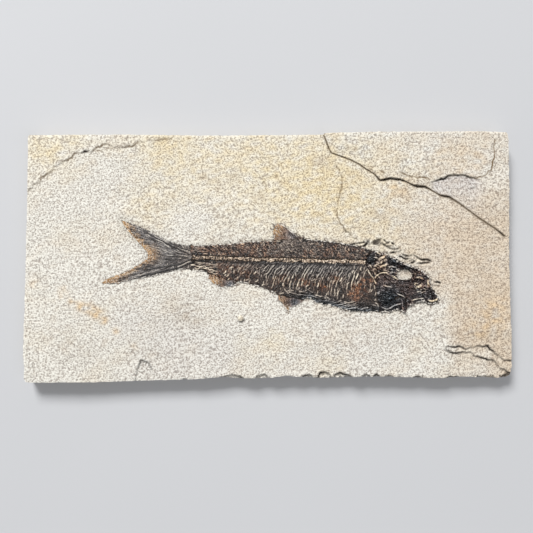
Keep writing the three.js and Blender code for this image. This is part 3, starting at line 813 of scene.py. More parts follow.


# Light stone flakes that stand up behind the head, and the gaps beside them, painted dark as their shadows
FLAKES = [
    [(59.5, 8.4), (61.5, 9.2), (64, 9.4)], [(63.5, 6.2), (65.8, 7.2), (67.4, 9)],
    [(68.5, 7.4), (70.5, 9.4), (71.4, 11.4)], [(73.5, 7), (76.5, 8.2), (78.3, 10)],
    [(77, 9.3), (79.6, 8.4), (81.8, 9.5)], [(80.8, 6.4), (83.9, 6.9), (86, 5.6)],
    [(84.5, 3), (88, 3.2), (91.5, 4.6)], [(92.4, -1.8), (95.2, -2.2), (98, -1)],
    [(95.6, -4), (98.1, -2.4), (99.8, -2.8)], [(100.6, -5.8), (102.6, -4.6), (106, -4.1)],
    [(104, -5.6), (108, -4.6), (110.8, -4.8)], [(112.4, -20.3), (115, -19.9), (116.8, -20.6)],
]
FLAKE_SHADOWS = [
    [(52.4, 7.3), (55.1, 6.9), (57.9, 7.2), (59.7, 8.2)],
    [(61.1, 9.4), (62.2, 8.3), (65.6, 8.8), (67, 9.4)],
    [(59.7, 6.8), (62.2, 5.7), (64.7, 5.4), (66.6, 6.5), (68.2, 8.3), (69.5, 10.6)],
    [(71.2, 7.7), (74.4, 7.6), (76, 9), (77.4, 11)], [(71.6, 8.3), (73, 9.6), (75, 10.4), (77.3, 11)],
    [(78.4, 10.6), (79.8, 9.9), (81.6, 8.1), (83.5, 8.8)], [(83.9, 8.8), (85.3, 7.7), (87.1, 7.2)],
    [(78, 7.7), (80.7, 6.1), (84.4, 4.2), (87.1, 3.8), (90.3, 4.7)], [(83.5, 1), (85.3, 1.7), (87.1, 1.5)],
    [(91.2, 0.8), (93.5, -0.4), (95.3, -1), (97.2, -0.6), (98.8, 0.3)],
    [(88.9, -0.8), (91.2, -1.3), (93, -2.4), (94.9, -2.6), (96.2, -1.7)],
    [(98.8, 0.3), (100.8, -0.8), (102.6, -2.2), (104.9, -3.3), (108.1, -3.3), (110.9, -4.2),
     (111.1, -5.2)],
    [(110.9, -5.4), (108.1, -5.4), (104.9, -5.8), (103.1, -6.3)],
    [(100.8, -3.8), (99, -5.2), (96.7, -5.6)],
    [(113.6, -19.1), (115.4, -18.7), (117.3, -19.3), (117, -20.3)],
]
# Larger hollows between the flakes, painted dark as shade
FLAKE_SHADOW_POCKETS = [
    [(71.2, 7.3), (74.5, 9.2), (77.6, 11)], [(64, 5.4), (66.5, 7.2), (68.6, 9.8)],
    [(56.2, 6.6), (60.6, 8.3)], [(92, 0), (96.5, -1.2)], [(104, -3.4), (108.5, -3.9)],
]


def stone_flakes(relief):
    """Raises the flakes behind the head and cuts the gaps between them, painted dark as shade."""
    for path in FLAKES:
        relief.ridge(places(path), 0.95 * MM, 0.8 * MM, taper=1.5 * MM)
    for path in FLAKE_SHADOWS:
        hairline(relief, rounded(places(path)), 0.8 * MM, 0.7 * MM, 1.0, taper=1.5 * MM, variation=0.15)
    for path in FLAKE_SHADOW_POCKETS:
        hairline(relief, rounded(places(path)), 1.05 * MM, 0.9 * MM, 1.0, taper=2.5 * MM, variation=0.1)


def pebble(relief):
    """A small pale lump below the fish, with a painted shadow at its foot on its lower right side."""
    offset = relief.at - PEBBLE
    distance = np.hypot(*offset.T)
    relief.z += PEBBLE_RISE * np.sqrt(np.clip(1 - (distance / PEBBLE_RADIUS) ** 2, 0, 1))
    relief.mask("yellow")[:] += 0.4 * smooth(2.4 * MM - distance, 0, 0.8 * MM)
    # Painted shadow around the foot of the lump on its lower right side
    lower = smooth(offset @ np.array((0.4, -0.9)) / (distance + 0.1 * MM), 0.1, 0.8)
    darken(relief, slice(None), 0.75 * lower * bell(distance - 2.5 * MM, 0.5 * MM))


# Where the corner crack has crumbled and is painted darkest as shade: place along the slab, reach and amount,
# in millimetres
CRUMBLED_AND_SHADED = [(80, 4.5, 0.6), (88, 5, 0.8), (104, 5, 0.9), (122, 3.5, 0.6), (161, 3, 0.5)]


def crack_opening(x):
    """How much the corner crack has crumbled and how deep its painted shade is, at a place along the slab."""
    return sum(size * bell(x - middle * MM, reach * MM) for middle, reach, size in CRUMBLED_AND_SHADED)


def crack_end(x):
    """0 along most of the corner crack and 1 near its right end, where it is wider and its painted shade
    darker.
    """
    return smooth(x, 106 * MM, 122 * MM)


def crumble_and_shade_crack(relief):
    """Crumbles the slab's rim along the corner crack, and paints shade along it: brown, and near black where
    the crack opens wide.
    """
    chosen, distance, along = relief.near(CORNER_CRACK, 3 * MM)
    x = relief.at[chosen, 0]
    opening = crack_opening(x)
    reach = (0.66 + 0.14 * np.sin(along / (4 * MM)) + 0.42 * opening + 0.22 * crack_end(x)) * MM
    crumble_and_shade = bell(distance, reach)
    relief.z[chosen] -= (0.2 + 0.8 * opening) * MM * crumble_and_shade
    # Painted shade along the crack: brown, and near black where it has opened wide
    darken(relief, chosen, 0.95 * crumble_and_shade, "seam")
    darken(relief, chosen, np.clip(0.25 + 1.1 * opening + 0.35 * crack_end(x), 0, 0.95) * crumble_and_shade)


def slab_stone():
    """The main stone, with its ledges, cracks and chipped lower edge."""
    upper_left = uneven(UPPER_LEFT_CRACK)
    ledge_high, ledge_low = uneven(LEDGE_HIGH), uneven(LEDGE_LOW)
    seams = [
        *seam(upper_left, (-0.2, 0.2)), *seam(ledge_high, (-0.2, 0.2)), *seam(ledge_low, (-0.2, 0.2)),
        *seam(LOWER_LEFT_CRACK, (-0.4, 0, 0.4)), *seam(FAINT_CRACK, (-0.3, 0, 0.3)),
    ]
    body = np.vstack([BACK_EDGE, BELLY_EDGE[::-1]]) * (0.97, 0.9)
    fine_lines = [
        *map(ring, FISH_OUTLINES), *map(places, FLAKE_SHADOWS), *EDGE_CHIPS, ledge_high, ledge_low,
        upper_left, FAINT_CRACK, CORNER_CRACK, LOWER_LEFT_CRACK, PEBBLE_RING,
    ]
    rims = np.vstack([resampled(line, 1 * MM) for line in fine_lines])
    relief = Relief(
        SLAB_OUTLINE, STONE_SPACING, seams, sparse=(body, 2.5 * MM),
        fine=(rims, 1.3 * MM, 0.5 * MM), jitter=stone_edge,
    )
    stone_grain(relief)
    stone_tints(relief)
    beside_fish = fossil_film(relief)
    step(relief, upper_left, lambda at: 0.35 * MM * smooth(at[:, 0], -70 * MM, -100 * MM))
    for ledge in (ledge_high, ledge_low):
        step(relief, ledge, lambda at: 0.5 * MM * smooth(at[:, 0], 116 * MM, 140 * MM))
    right = smooth(relief.at[:, 0], 116 * MM, 140 * MM) * smooth(relief.at[:, 1], -50 * MM, -60 * MM)
    relief.z -= 1.0 * MM * right
    hairline(relief, upper_left, 0.38 * MM, 0.3 * MM, 0.75, tint="seam")
    hairline(relief, uneven(UPPER_LEFT_BRANCH), 0.38 * MM, 0.25 * MM, 0.7, tint="seam")
    hairline(relief, UPPER_LEFT_HOLE, 0.8 * MM, 0.6 * MM, 1.0, taper=2 * MM, variation=0)
    hairline(relief, ledge_high, 0.85 * MM, 0.5 * MM, 1.0)
    hairline(relief, ledge_low, 0.75 * MM, 0.5 * MM, 1.0)
    hairline(relief, LOWER_LEFT_CRACK, 0.55 * MM, 0.5 * MM, 0.85, taper=1.5 * MM, variation=0.2)
    faint = uneven(FAINT_CRACK)
    hairline(relief, faint, 0.45 * MM, 0.3 * MM, 0.75, variation=0.15, tint="seam")
    hairline(relief, faint[len(faint) * 3 // 4 :], 0.45 * MM, 0.3 * MM, 0.6)
    hairline(relief, FAINT_BRANCH, 0.45 * MM, 0.25 * MM, 0.5)
    hairline(relief, SMALL_MARK, 0.5 * MM, 0.3 * MM, 0.8)
    stone_flakes(relief)
    stray_bones(relief, beside_fish)
    pebble(relief)
    relief.z[inside(relief.at, body)] = FACE - 0.6 * MM
    crumble_and_shade_crack(relief)
    edge_wear(relief, 0.25 * MM)
    chip_lower_edge(relief)
    return relief.build("slab_stone", 0.0, rows=13, inset=rough_side, wide=UNDERSIDE_SPACING)


def corner_stone():
    """The broken corner, set back higher and further out than the slab."""
    inner = uneven(FRAGMENT_CRACK)
    thin = uneven(FRAGMENT_THIN_CRACK)
    seams = [*seam(inner, (-0.2, 0.2)), *seam(thin, (-0.2, 0.2))]
    rims = np.vstack([inner, thin, resampled(CORNER_CRACK, 1 * MM)])
    relief = Relief(
        FRAGMENT_OUTLINE, CORNER_SPACING, seams, fine=(rims, 1.3 * MM, 0.4 * MM), jitter=stone_edge,
    )
    x = relief.at[:, 0]
    rise = FRAGMENT_RISE - FRAGMENT_FALL * (x - CORNER_CRACK[0, 0])
    from_crack, _, _ = path_distance(relief.at, CORNER_CRACK)
    level_with_slab = bell(from_crack, 9 * MM) * (1 - np.clip(crack_opening(x) / 0.7, 0, 1))
    relief.z += rise * (1 - 0.92 * level_with_slab)
    # Painted shade along the corner's side of the crack: brown, and near black towards its right end
    rim = bell(from_crack, (0.5 + 0.3 * crack_end(x)) * MM)
    darken(relief, slice(None), 0.9 * rim, "seam")
    darken(relief, slice(None), (0.15 + 0.35 * crack_end(x)) * rim)
    stone_grain(relief)
    stone_tints(relief)
    distance, _, side = path_distance(relief.at, FRAGMENT_CRACK[:6])
    below = smooth(-side * distance, -0.15 * MM, 0.15 * MM) * bell(distance, 16 * MM)
    span = smooth(x, 110 * MM, 116 * MM) * smooth(-x, -152 * MM, -140 * MM)
    relief.z -= 0.7 * MM * below * span
    relief.mask("grey")[:] += 0.8 * below * span
    middle = len(inner) // 2
    hairline(relief, inner[:middle], 0.95 * MM, 0.7 * MM, 1.0, taper=9 * MM, variation=0.1)
    hairline(relief, inner[middle - 4 :], 0.55 * MM, 0.4 * MM, 1.0, variation=0.2, tint="seam")
    hairline(relief, thin, 0.65 * MM, 0.4 * MM, 1.0, variation=0.2, tint="seam")
    hairline(relief, FRAGMENT_CHIP, 0.6 * MM, 0.3 * MM, 0.9, tint="seam")
    hairline(relief, FRAGMENT_MARK, 0.9 * MM, 0.4 * MM, 0.8)
    edge_wear(relief, 0.2 * MM)
    return relief.build("corner_stone", 0.0, rows=14, inset=rough_side, wide=UNDERSIDE_SPACING)


def flank_base(relief):
    """The swell of the flattened body, highest along the backbone."""
    x, y = relief.at.T
    from_spine = np.abs(y - spine(x))
    forward = smooth(x, -54 * MM, -30 * MM)
    relief.z += 0.2 * MM + forward * (0.2 + 0.6 * np.clip(1 - from_spine / (34 * MM), 0, 1)) * MM
    relief.z += gentle_swell(relief.at)


def splinters(relief, seed, count, heading, turn, length, width, rise, tones, strength=0.8, where=None):
    """Scatters short bones over a surface, each along a heading, give or take. The heading is an
    angle, or a function that gives one for each place."""
    draw = np.random.default_rng(seed)
    ground = np.arange(len(relief.at)) if where is None else np.flatnonzero(where)
    for start in draw.choice(ground, count):
        middle = relief.at[start]
        angle = (heading(middle) if callable(heading) else heading) + draw.normal(0, turn)
        half = length * draw.uniform(0.5, 1.2) / 2 * np.array([math.cos(angle), math.sin(angle)])
        bend = np.array([-half[1], half[0]]) * draw.normal(0, 0.25)
        tone = draw.uniform(*tones)
        path = np.array([middle - half, middle + bend, middle + half])
        girth, height = width * draw.uniform(0.7, 1.3), rise * draw.uniform(0.5, 1.3)
        relief.ridge(path, girth, height, tone, strength, taper=length / 3, shade=0.6)


# The scales of the back run up and towards the tail, and are paler under the dorsal fin
SCALE_HEADING = math.pi - 0.75
PALE_WEDGE = [(10, 9, 6, 0.2), (18, 10.5, 7, 0.25), (28, 9.5, 6, 0.15)]


def back_skin():
    """The scaly side above the backbone, with the spines of the vertebrae showing through."""
    relief = Relief(BACK_OUTLINE, SKIN_SPACING, jitter=fish_edge)
    flank_base(relief)
    at = relief.at
    x, y = at.T
    tone, rust = relief.mask("tone"), relief.mask("rust")
    scales = waves(61, 1.9 * MM, spread=0.3)(at)
    fine = waves(62, 1.2 * MM, spread=0.25)(at)
    relief.z += 0.13 * MM * scales + 0.08 * MM * fine
    front = smooth(x, -10 * MM, 60 * MM)
    wedge = blobs(at, PALE_WEDGE)
    tone += 0.25 - 0.05 * front + 0.1 * scales + 0.1 * fine + wedge
    rust += 0.3 - 0.12 * front + 0.2 * waves(63, 6 * MM, spread=0.5)(at) - 3 * wedge
    np.clip(rust, 0, 0.5, out=rust)
    splinters(relief, 65, 480, SCALE_HEADING, 0.6, 2.0 * MM, 0.42 * MM, 0.08 * MM, (0.0, 0.1), 0.85)
    splinters(relief, 64, 440, SCALE_HEADING, 0.5, 2.4 * MM, 0.42 * MM, 0.16 * MM, (0.4, 0.9), 0.9)
    rear = x < -40 * MM
    tailward = math.radians(172)
    splinters(relief, 68, 40, tailward, 0.12, 5 * MM, 0.4 * MM, 0.1 * MM, (0.0, 0.12), 0.95, rear)
    splinters(relief, 69, 30, tailward, 0.12, 5 * MM, 0.36 * MM, 0.15 * MM, (0.5, 0.9), 0.9, rear)
    for index, place in enumerate(np.arange(-50, 66, 3.1) * MM):
        root = np.array([place, spine(place) + SPINE_HALF + 0.4 * MM])
        height = (back_height(place) - root[1]) * (0.7 + 0.25 * math.sin(index * 2.4))
        tip = root + np.array([-0.95, 1.0]) * height
        middle = (root + tip) / 2 + places((0.3, 0.2))
        relief.ridge(np.array([root, middle, tip]), 0.3 * MM, 0.14 * MM, 0.55, 0.5, shade=0.5)
    relief.lay_bare(BACK_OUTLINE, 0.45 * MM, 67)
    rim = bell(y - back_height(x), 1.3 * MM) * smooth(x, 24 * MM, 34 * MM)
    tone *= 1 - 0.75 * rim
    rust *= 1 - rim
    tone *= 1 - 0.5 * bell(y - spine(x) - SPINE_HALF, 0.5 * MM)
    return relief.build("back_skin", FISH_FLOOR)


def backbone_bone():
    """The vertebrae in a row: tan above, with black joints between them, and below, painted shadow with the
    heads of the ribs in it.
    """
    relief = Relief(SPINE_OUTLINE, SPINE_SPACING, jitter=fish_edge)
    x, y = relief.at.T
    front = smooth(x, 5 * MM, 40 * MM)
    across = (y - spine(x)) / SPINE_HALF + 0.22 * waves(73, 9 * MM)(relief.at)
    number = (x - SPINE_TAIL[0]) / VERTEBRA + 0.22 * waves(74, 5 * MM)(relief.at)
    phase = number - np.floor(number)
    draws = np.random.default_rng(71).uniform(0, 1, (3, MOST_VERTEBRAE))
    pick, lean, girth = draws[:, np.clip(number.astype(int), 0, MOST_VERTEBRAE - 1)]
    coarse = waves(75, 1.8 * MM, spread=0.3)(relief.at)
    fine = waves(72, 1.1 * MM, spread=0.3)(relief.at)
    crest = 0.4 * (lean - 0.5) - 0.25 * smooth(x, -42 * MM, -24 * MM) - 0.15 * front
    body = np.clip(1.7 * (1 - ((across - crest) / (0.6 + 0.3 * girth + 0.35 * front)) ** 2), 0, 1)
    joint = bell(np.minimum(phase, 1 - phase), 0.19)
    rib_head = 0.5 * bell(phase - 0.5, 0.26) * bell(across + 0.9, 0.3) * (girth > 0.5)
    relief.z += 0.2 * MM + (0.7 + 0.4 * pick) * MM * body * (0.5 + 0.5 * smooth(x, -54 * MM, -35 * MM))
    relief.z += (0.3 * rib_head - 0.4 * joint * body) * MM
    relief.z += 0.2 * MM * SWELL(relief.at) + 0.1 * MM * coarse + 0.05 * MM * fine
    above = smooth(across - crest, 0.1, 0.6)
    # Below the crest the tone stays near black: painted shadow under the vertebrae
    tone = 0.04 + 0.24 * above + body * (0.22 + 0.5 * pick) - 0.4 * joint * body + 0.6 * rib_head
    tone += (0.08 * coarse + 0.08 * fine) * above
    tone += (0.2 * coarse + 0.14 * fine) * body
    relief.mask("tone")[:] = np.clip(tone, 0.02, 1)
    return relief.build("backbone_bone", FISH_FLOOR)


def rib_path(root, drop, lean):
    """A rib that leaves its vertebra on a slant and turns down as it goes."""
    share = np.linspace(0, 1, 6)
    across = -0.68 * lean * drop * (1 - (1 - share) ** 1.8)
    return root + np.column_stack([across, -drop * share])


RUST_PATCHES = [
    (58.3, -25, 4.5, 1.1), (62.5, -20.5, 4, 1.0), (70, -16, 3.5, 1.0), (45.5, -15, 4, 0.8), (37, -21, 5, 0.8),
    (24.5, -17.5, 5, 0.8), (11, -15.5, 5, 0.7), (-30, -12, 12, 0.6), (-14, -13, 6, 0.5), (4, -19, 5, 0.4),
    (66, -26, 4, 0.6),
]
# Rust-coloured skin that no rib crosses
BARE_RUST = [
    (57.5, -26.5, 3, 1.0), (61.5, -22, 2.6, 1.0), (60, -29.5, 2.2, 0.8), (65, -17, 2, 0.7),
    (70.2, -17.5, 2, 0.9), (46, -16, 1.6, 0.7), (37.5, -21.5, 1.8, 0.6), (24.8, -17.8, 2, 0.6),
]
# Bones along the belly: path, half width, rise and tone
BELLY_STREAKS = [
    ([(33.4, -30.6), (40, -31), (47, -32.3)], 0.5, 0.35, 0.62),
    ([(34.6, -31.8), (40, -32.6), (46, -33.8)], 0.6, 0.2, 0.05),
    ([(40, -33.4), (45.6, -32.2), (50, -30.6)], 0.4, 0.3, 0.7),
    ([(47, -35.4), (54, -34.4), (61.4, -32.2)], 0.45, 0.4, 0.78),
    ([(50, -36.6), (56, -36.2), (61.4, -35.4)], 0.45, 0.4, 0.72),
    ([(60.7, -32), (64, -33.6), (68, -35)], 0.7, 0.2, 0.05),
    ([(62, -37.4), (66, -36), (70, -35.6)], 0.5, 0.4, 0.75),
    ([(14, -27), (20, -28.4), (27, -28)], 0.5, 0.2, 0.06),
    ([(16, -26), (22, -27), (28, -27.2), (33, -29)], 0.4, 0.3, 0.65),
    ([(46.3, -34.4), (50.8, -33.2), (54.8, -32.2), (59.3, -31.2)], 0.45, 0.4, 0.75),
    ([(47.3, -35.9), (51.8, -35.7), (56.8, -34.5), (60.8, -33.8)], 0.4, 0.4, 0.7),
    ([(49.8, -37.2), (53.8, -37.7), (58.3, -38.2), (62.8, -37.8)], 0.6, 0.3, 0.08),
    ([(59.8, -32.5), (65.3, -33), (68.8, -35), (70.3, -37.1)], 0.7, 0.3, 0.08),
]
# The black line where the body meets the tail
ROOT_LINE = places([(-38, -3.4), (-44, -3.3), (-49.4, -3.6), (-54, -4.8)])
# The strands that a rib has split into: shift along the fish in millimetres, length and tones
RIB_STRANDS = [(1.0, 0.9, (0.4, 0.75)), (-0.8, 0.6, (0.3, 0.6)), (0, 1, (0.6, 1.0))]
RIB_SPACING = 2.25
ALONG_BELLY = math.radians(-14)
TAILWARD_BELOW = math.radians(176)


def rib_heading(place):
    """The slant of the broken bones between the ribs, steeper towards the head."""
    return math.radians(228 if place[0] < 10 * MM else 245)


def raise_ribs(relief):
    """Ribs in strands, each a little shorter or longer than its neighbours."""
    draw = np.random.default_rng(84)
    for place in np.arange(-50, 68, RIB_SPACING) * MM:
        share = (place - SPINE_TAIL[0]) / (SPINE_END - SPINE_TAIL[0])
        lean = 1.5 - 0.95 * share + draw.normal(0, 0.06)
        root = np.array([place + draw.normal(0, 0.2 * MM), spine(place) - SPINE_HALF - 0.6 * MM])
        above = (1.0 + 3.2 * smooth(share, 0.5, 0.85)) * MM
        drop = root[1] - belly_height(place - lean * 9 * MM) - above - draw.uniform(0, 2.5) * MM
        clear = 0.35 + 0.65 * smooth(place, -28 * MM, 6 * MM)
        for offset, reach, tones in RIB_STRANDS:
            part = rib_path(root + places((offset, 0)), drop * draw.uniform(0.55 * reach, reach), lean)
            width = draw.uniform(0.38, 0.56) * MM
            rise = 0.4 * MM * reach * clear
            relief.ridge(part, width, rise, draw.uniform(*tones), 0.95 * clear, shade=0.9 * clear)


def rib_side():
    """The side below the backbone: ribs that sweep back and turn down, over rust-stained scales."""
    relief = Relief(RIB_OUTLINE, SKIN_SPACING, jitter=fish_edge)
    flank_base(relief)
    at = relief.at
    x, y = at.T
    tone, rust, blue = (relief.mask(name) for name in ("tone", "rust", "blue"))
    scales = waves(81, 1.9 * MM, spread=0.3, heading=0.7, turn=0.6)(at)
    fine = waves(82, 1.1 * MM, spread=0.25)(at)
    relief.z += 0.12 * MM * scales + 0.06 * MM * fine - 0.15 * MM
    tone += 0.2 + 0.08 * scales + 0.07 * fine
    patches = waves(83, 4 * MM, spread=0.5)(at)
    rust += np.clip(blobs(at, RUST_PATCHES) * (0.7 + 0.5 * patches), 0, 1)
    above_belly = y - belly_height(x)
    band = bell(above_belly, 4 * MM) * smooth(x, 8 * MM, 30 * MM)
    blue += np.clip(band * 0.9, 0, 1)
    tone *= 1 - 0.25 * band
    low = (above_belly < 5 * MM) & (x > 12 * MM)
    splinters(relief, 86, 300, rib_heading, 0.35, 3.0 * MM, 0.42 * MM, 0.1 * MM, (0.0, 0.08), 0.9)
    splinters(relief, 88, 90, ALONG_BELLY, 0.25, 4 * MM, 0.5 * MM, 0.15 * MM, (0.0, 0.06), 0.95, low)
    raise_ribs(relief)
    splinters(relief, 89, 260, rib_heading, 0.5, 2.0 * MM, 0.45 * MM, 0.1 * MM, (0.05, 0.25), 0.85)
    splinters(relief, 85, 200, rib_heading, 0.25, 2.8 * MM, 0.42 * MM, 0.2 * MM, (0.55, 1.0), 0.9)
    splinters(relief, 87, 190, ALONG_BELLY, 0.3, 4 * MM, 0.5 * MM, 0.3 * MM, (0.5, 1.0), 0.95, low)
    splinters(relief, 90, 50, ALONG_BELLY, 0.5, 3 * MM, 0.5 * MM, 0.2 * MM, (0.0, 0.1), 0.9, low)
    rear = x < -36 * MM
    splinters(relief, 99, 70, TAILWARD_BELOW, 0.12, 5 * MM, 0.4 * MM, 0.15 * MM, (0.0, 0.1), 0.95, rear)
    splinters(relief, 100, 75, TAILWARD_BELOW, 0.12, 5 * MM, 0.38 * MM, 0.2 * MM, (0.6, 1.0), 0.95, rear)
    for path, width, rise, level in BELLY_STREAKS:
        relief.ridge(places(path), width * MM, rise * MM, level, 0.95, shade=0.8)
    relief.ridge(ROOT_LINE, 0.6 * MM, 0.1 * MM, 0.02, 0.95)
    draw_bones(relief)
    rust *= 1 - 0.75 * smooth(tone, 0.4, 0.65)
    rusty = np.clip(blobs(at, BARE_RUST) * (1 + 0.4 * patches), 0, 0.85)
    tone += (0.4 + 0.14 * scales + 0.1 * fine - tone) * rusty
    np.maximum(rust, rusty, out=rust)
    upper = smooth(y - spine(x), -15 * MM, -7 * MM) * smooth(x, -20 * MM, 10 * MM)
    upper *= smooth(64 * MM - x, 0, 12 * MM)
    np.maximum(blue, 0.35 * upper * (1 - rusty), out=blue)
    relief.lay_bare(RIB_OUTLINE, 0.4 * MM, 89)
    # Painted shadow under the backbone: a dashed dark line along the top of the rib side, a little sunk
    spine_shadow_height = spine(x) - (1.8 + 1.1 * smooth(x, -42 * MM, -20 * MM)) * MM
    dashes = 0.4 + 0.6 * smooth(waves(92, 4.2 * MM, heading=0, turn=0.3)(at), -0.7, 0.2)
    under = bell(y - spine_shadow_height, 0.8 * MM) * dashes
    relief.z -= 0.2 * MM * under
    tone *= 1 - 0.95 * under
    rust *= 1 - under
    return relief.build("rib_side", FISH_FLOOR)


def ray_fan(relief, seed, roots, tips, count, bulge, tones=(0.5, 0.85)):
    """Fin rays from a row of roots to a row of tips."""
    draw = np.random.default_rng(seed)
    for share in np.linspace(0, 1, count) + draw.normal(0, 0.3 / count, count):
        root = sample(roots, share)
        tip = sample(tips, share)
        bend = root + (tip - root) * 0.5 + bulge * (1 - share)
        path = rounded(np.array([root, bend, tip]))
        relief.ridge(path, 0.42 * MM, 0.26 * MM, draw.uniform(*tones), 0.7, shade=0.4)


def fin_film(relief, seed, tone=0.5):
    """The thin skin of a fin. Gives back its finest grain."""
    at = relief.at
    fine = waves(seed, 1.1 * MM, spread=0.3)(at)
    relief.z += 0.2 * MM + 0.05 * MM * fine + 0.2 * MM * SWELL(at)
    relief.mask("tone")[:] = tone + 0.1 * fine + 0.06 * waves(seed + 1, 3 * MM)(at)
    return fine


def fin_of(name, outline, roots, tips, count, ochre, blue, seed):
    """A fin: rays from a row of roots to a row of tips, and ochre film where the bone has gone."""
    relief = Relief(outline, SKIN_SPACING, jitter=fish_edge)
    at = relief.at
    fine = fin_film(relief, seed)
    roots, tips = places(roots), places(tips)
    ray_fan(relief, seed + 2, roots, tips, count, places((0, 0.3)), (0.45, 0.85))
    film = np.clip(blobs(at, ochre) + 0.2 * fine, 0, 1)
    relief.mask("ochre")[:] = film
    relief.mask("rust")[:] = np.clip(0.9 - film + 0.3 * waves(seed + 4, 3 * MM)(at), 0, 0.6)
    relief.mask("blue")[:] = np.clip(blobs(at, blue) + 0.1 * fine, 0, 0.9)
    along, across = tips[0] - roots[0]
    heading = math.atan2(across, along)
    splinters(relief, seed + 6, 22, heading, 0.25, 3 * MM, 0.35 * MM, 0.1 * MM, (0.1, 0.3), 0.7)
    relief.lay_bare(outline, 0.4 * MM, seed + 5)
    worn = smooth(waves(seed + 9, 1.6 * MM, spread=0.4)(at), 0.2, 1.0) * film
    relief.mask("bare")[:] = np.maximum(relief.mask("bare"), 0.65 * worn)
    return relief.build(name, FISH_FLOOR)


def fan(relief, leading, axis, where, count, seed):
    """Fin rays as stripes that spread between a leading edge and the middle of the tail."""
    at = relief.at[where]
    from_edge, _, _ = path_distance(at, leading)
    from_axis, _, _ = path_distance(at, axis)
    share = from_edge / (from_edge + from_axis + 0.01 * MM)
    number = share * count + 0.16 * waves(seed, 9 * MM)(at)
    phase = number - np.floor(number)
    draws = np.random.default_rng(seed).uniform(0, 1, (2, count + 3))
    bright, gap = draws[:, np.clip(number.astype(int), 0, count + 2)]
    crest = np.clip(np.sin(math.pi * phase), 0, 1) ** 1.2
    wear = 0.65 + 0.35 * smooth(BONE_WEAR(at), -1.2, 0.2)
    relief.z[where] += 0.25 * MM * crest * wear
    relief.mask("tone")[where] += (0.08 + 0.26 * bright) * crest * wear - 0.16 * gap * (1 - crest)


# Dark and light lines that stand out in the tail: path, half width and tone
TAIL_LINES = [
    ([(-52, -4.2), (-57.5, -6.6), (-61.5, -8.2), (-76, -11.4), (-88.5, -14.2)], 0.75, 0.03),
    ([(-52, -2), (-58, -4.6), (-62, -6), (-72.4, -7.4), (-84.7, -9.6)], 0.6, 0.04),
    ([(-55, -0.7), (-59, -0.5), (-64, -0.3), (-69.9, 0)], 0.5, 0.06),
    ([(-52, 0.6), (-58, 3.2), (-64.2, 5.9), (-75.2, 11.9), (-85, 17)], 0.5, 0.12),
    ([(-52, -3.1), (-57.5, -5.5), (-61.8, -7.1)], 0.3, 0.85),
    ([(-77, 12), (-72.8, 9.6), (-66, 5.6)], 0.35, 0.85),
    ([(-78, 13.4), (-71, 9.9), (-63, 5.6), (-55, 1.6)], 0.35, 0.08),
    ([(-82, 16.4), (-74, 12), (-64, 7.2)], 0.3, 0.8),
    ([(-95, -14.6), (-84, -11.6), (-74, -9.4)], 0.4, 0.7),
    ([(-53, 3.6), (-57, 4.6), (-62, 6.6), (-68, 9.4)], 0.45, 0.08),
    ([(-53, 2.4), (-57.6, 4), (-63, 6.4)], 0.3, 0.8),
    ([(-54, 0.4), (-58, 1.2), (-63, 2.6)], 0.35, 0.1),
    ([(-54, -0.2), (-58.6, 0.4), (-63.4, 1)], 0.3, 0.7),
    ([(-54, -1.4), (-58.4, -1.9), (-64, -2.8)], 0.35, 0.1),
]
TAIL_AXIS = places([(-50, -0.9), (-60, -0.6), (-81, -0.2)])
TAIL_OCHRE = [(-101, 25.5, 7, 0.9), (-111, -18, 9, 1.0), (-80, 1, 5, 0.8)]


def tail_heading(place):
    """The way that the rays of the tail run: out from its root."""
    return math.atan2(place[1] + 1 * MM, place[0] + 50 * MM)


def tail_bone():
    """The forked tail: two lobes of rays that spread from the root."""
    relief = Relief(TAIL_OUTLINE, SKIN_SPACING, jitter=fish_edge)
    at = relief.at
    x, y = at.T
    fine = fin_film(relief, 91, 0.42)
    tone = relief.mask("tone")
    tone -= 0.06 * smooth(y, 2 * MM, 8 * MM)
    upper_lobe = y >= -0.6 * MM
    fan(relief, TAIL_OUTLINE[:6], TAIL_AXIS, upper_lobe, 12, 93)
    fan(relief, TAIL_OUTLINE[-8:], TAIL_AXIS, ~upper_lobe, 12, 94)
    splinters(relief, 97, 80, tail_heading, 0.1, 6 * MM, 0.32 * MM, 0.14 * MM, (0.6, 0.95), 0.8)
    splinters(relief, 98, 90, tail_heading, 0.1, 6 * MM, 0.34 * MM, 0.08 * MM, (0.08, 0.26), 0.8)
    distance, _, _ = path_distance(at, TAIL_OUTLINE[5:18])
    reach = (2.6 + 1.0 * waves(95, 4 * MM)(at)) * MM
    edge = bell(distance, np.maximum(reach, 0.5 * MM)) * (1 - 0.35 * smooth(y, 0, -4 * MM))
    ochre = np.clip(edge + blobs(at, TAIL_OCHRE) + 0.1 * fine, 0, 1)
    relief.mask("ochre")[:] = ochre
    root = smooth(x, -66 * MM, -54 * MM)
    tone -= 0.06 * root
    relief.mask("blue")[:] = np.clip(0.5 - 0.8 * ochre - 0.2 * root, 0, 1)
    for path, width, level in TAIL_LINES:
        relief.ridge(places(path), width * MM, 0.12 * MM, level, 0.95)
    relief.lay_bare(TAIL_OUTLINE, 0.2 * MM, 96)
    worn = smooth(waves(190, 1.6 * MM, spread=0.4)(at), 0.2, 1.0) * np.clip(1.5 * ochre - 0.3, 0, 1)
    relief.mask("bare")[:] = np.maximum(relief.mask("bare"), 0.55 * worn)
    return relief.build("tail_bone", FISH_FLOOR)


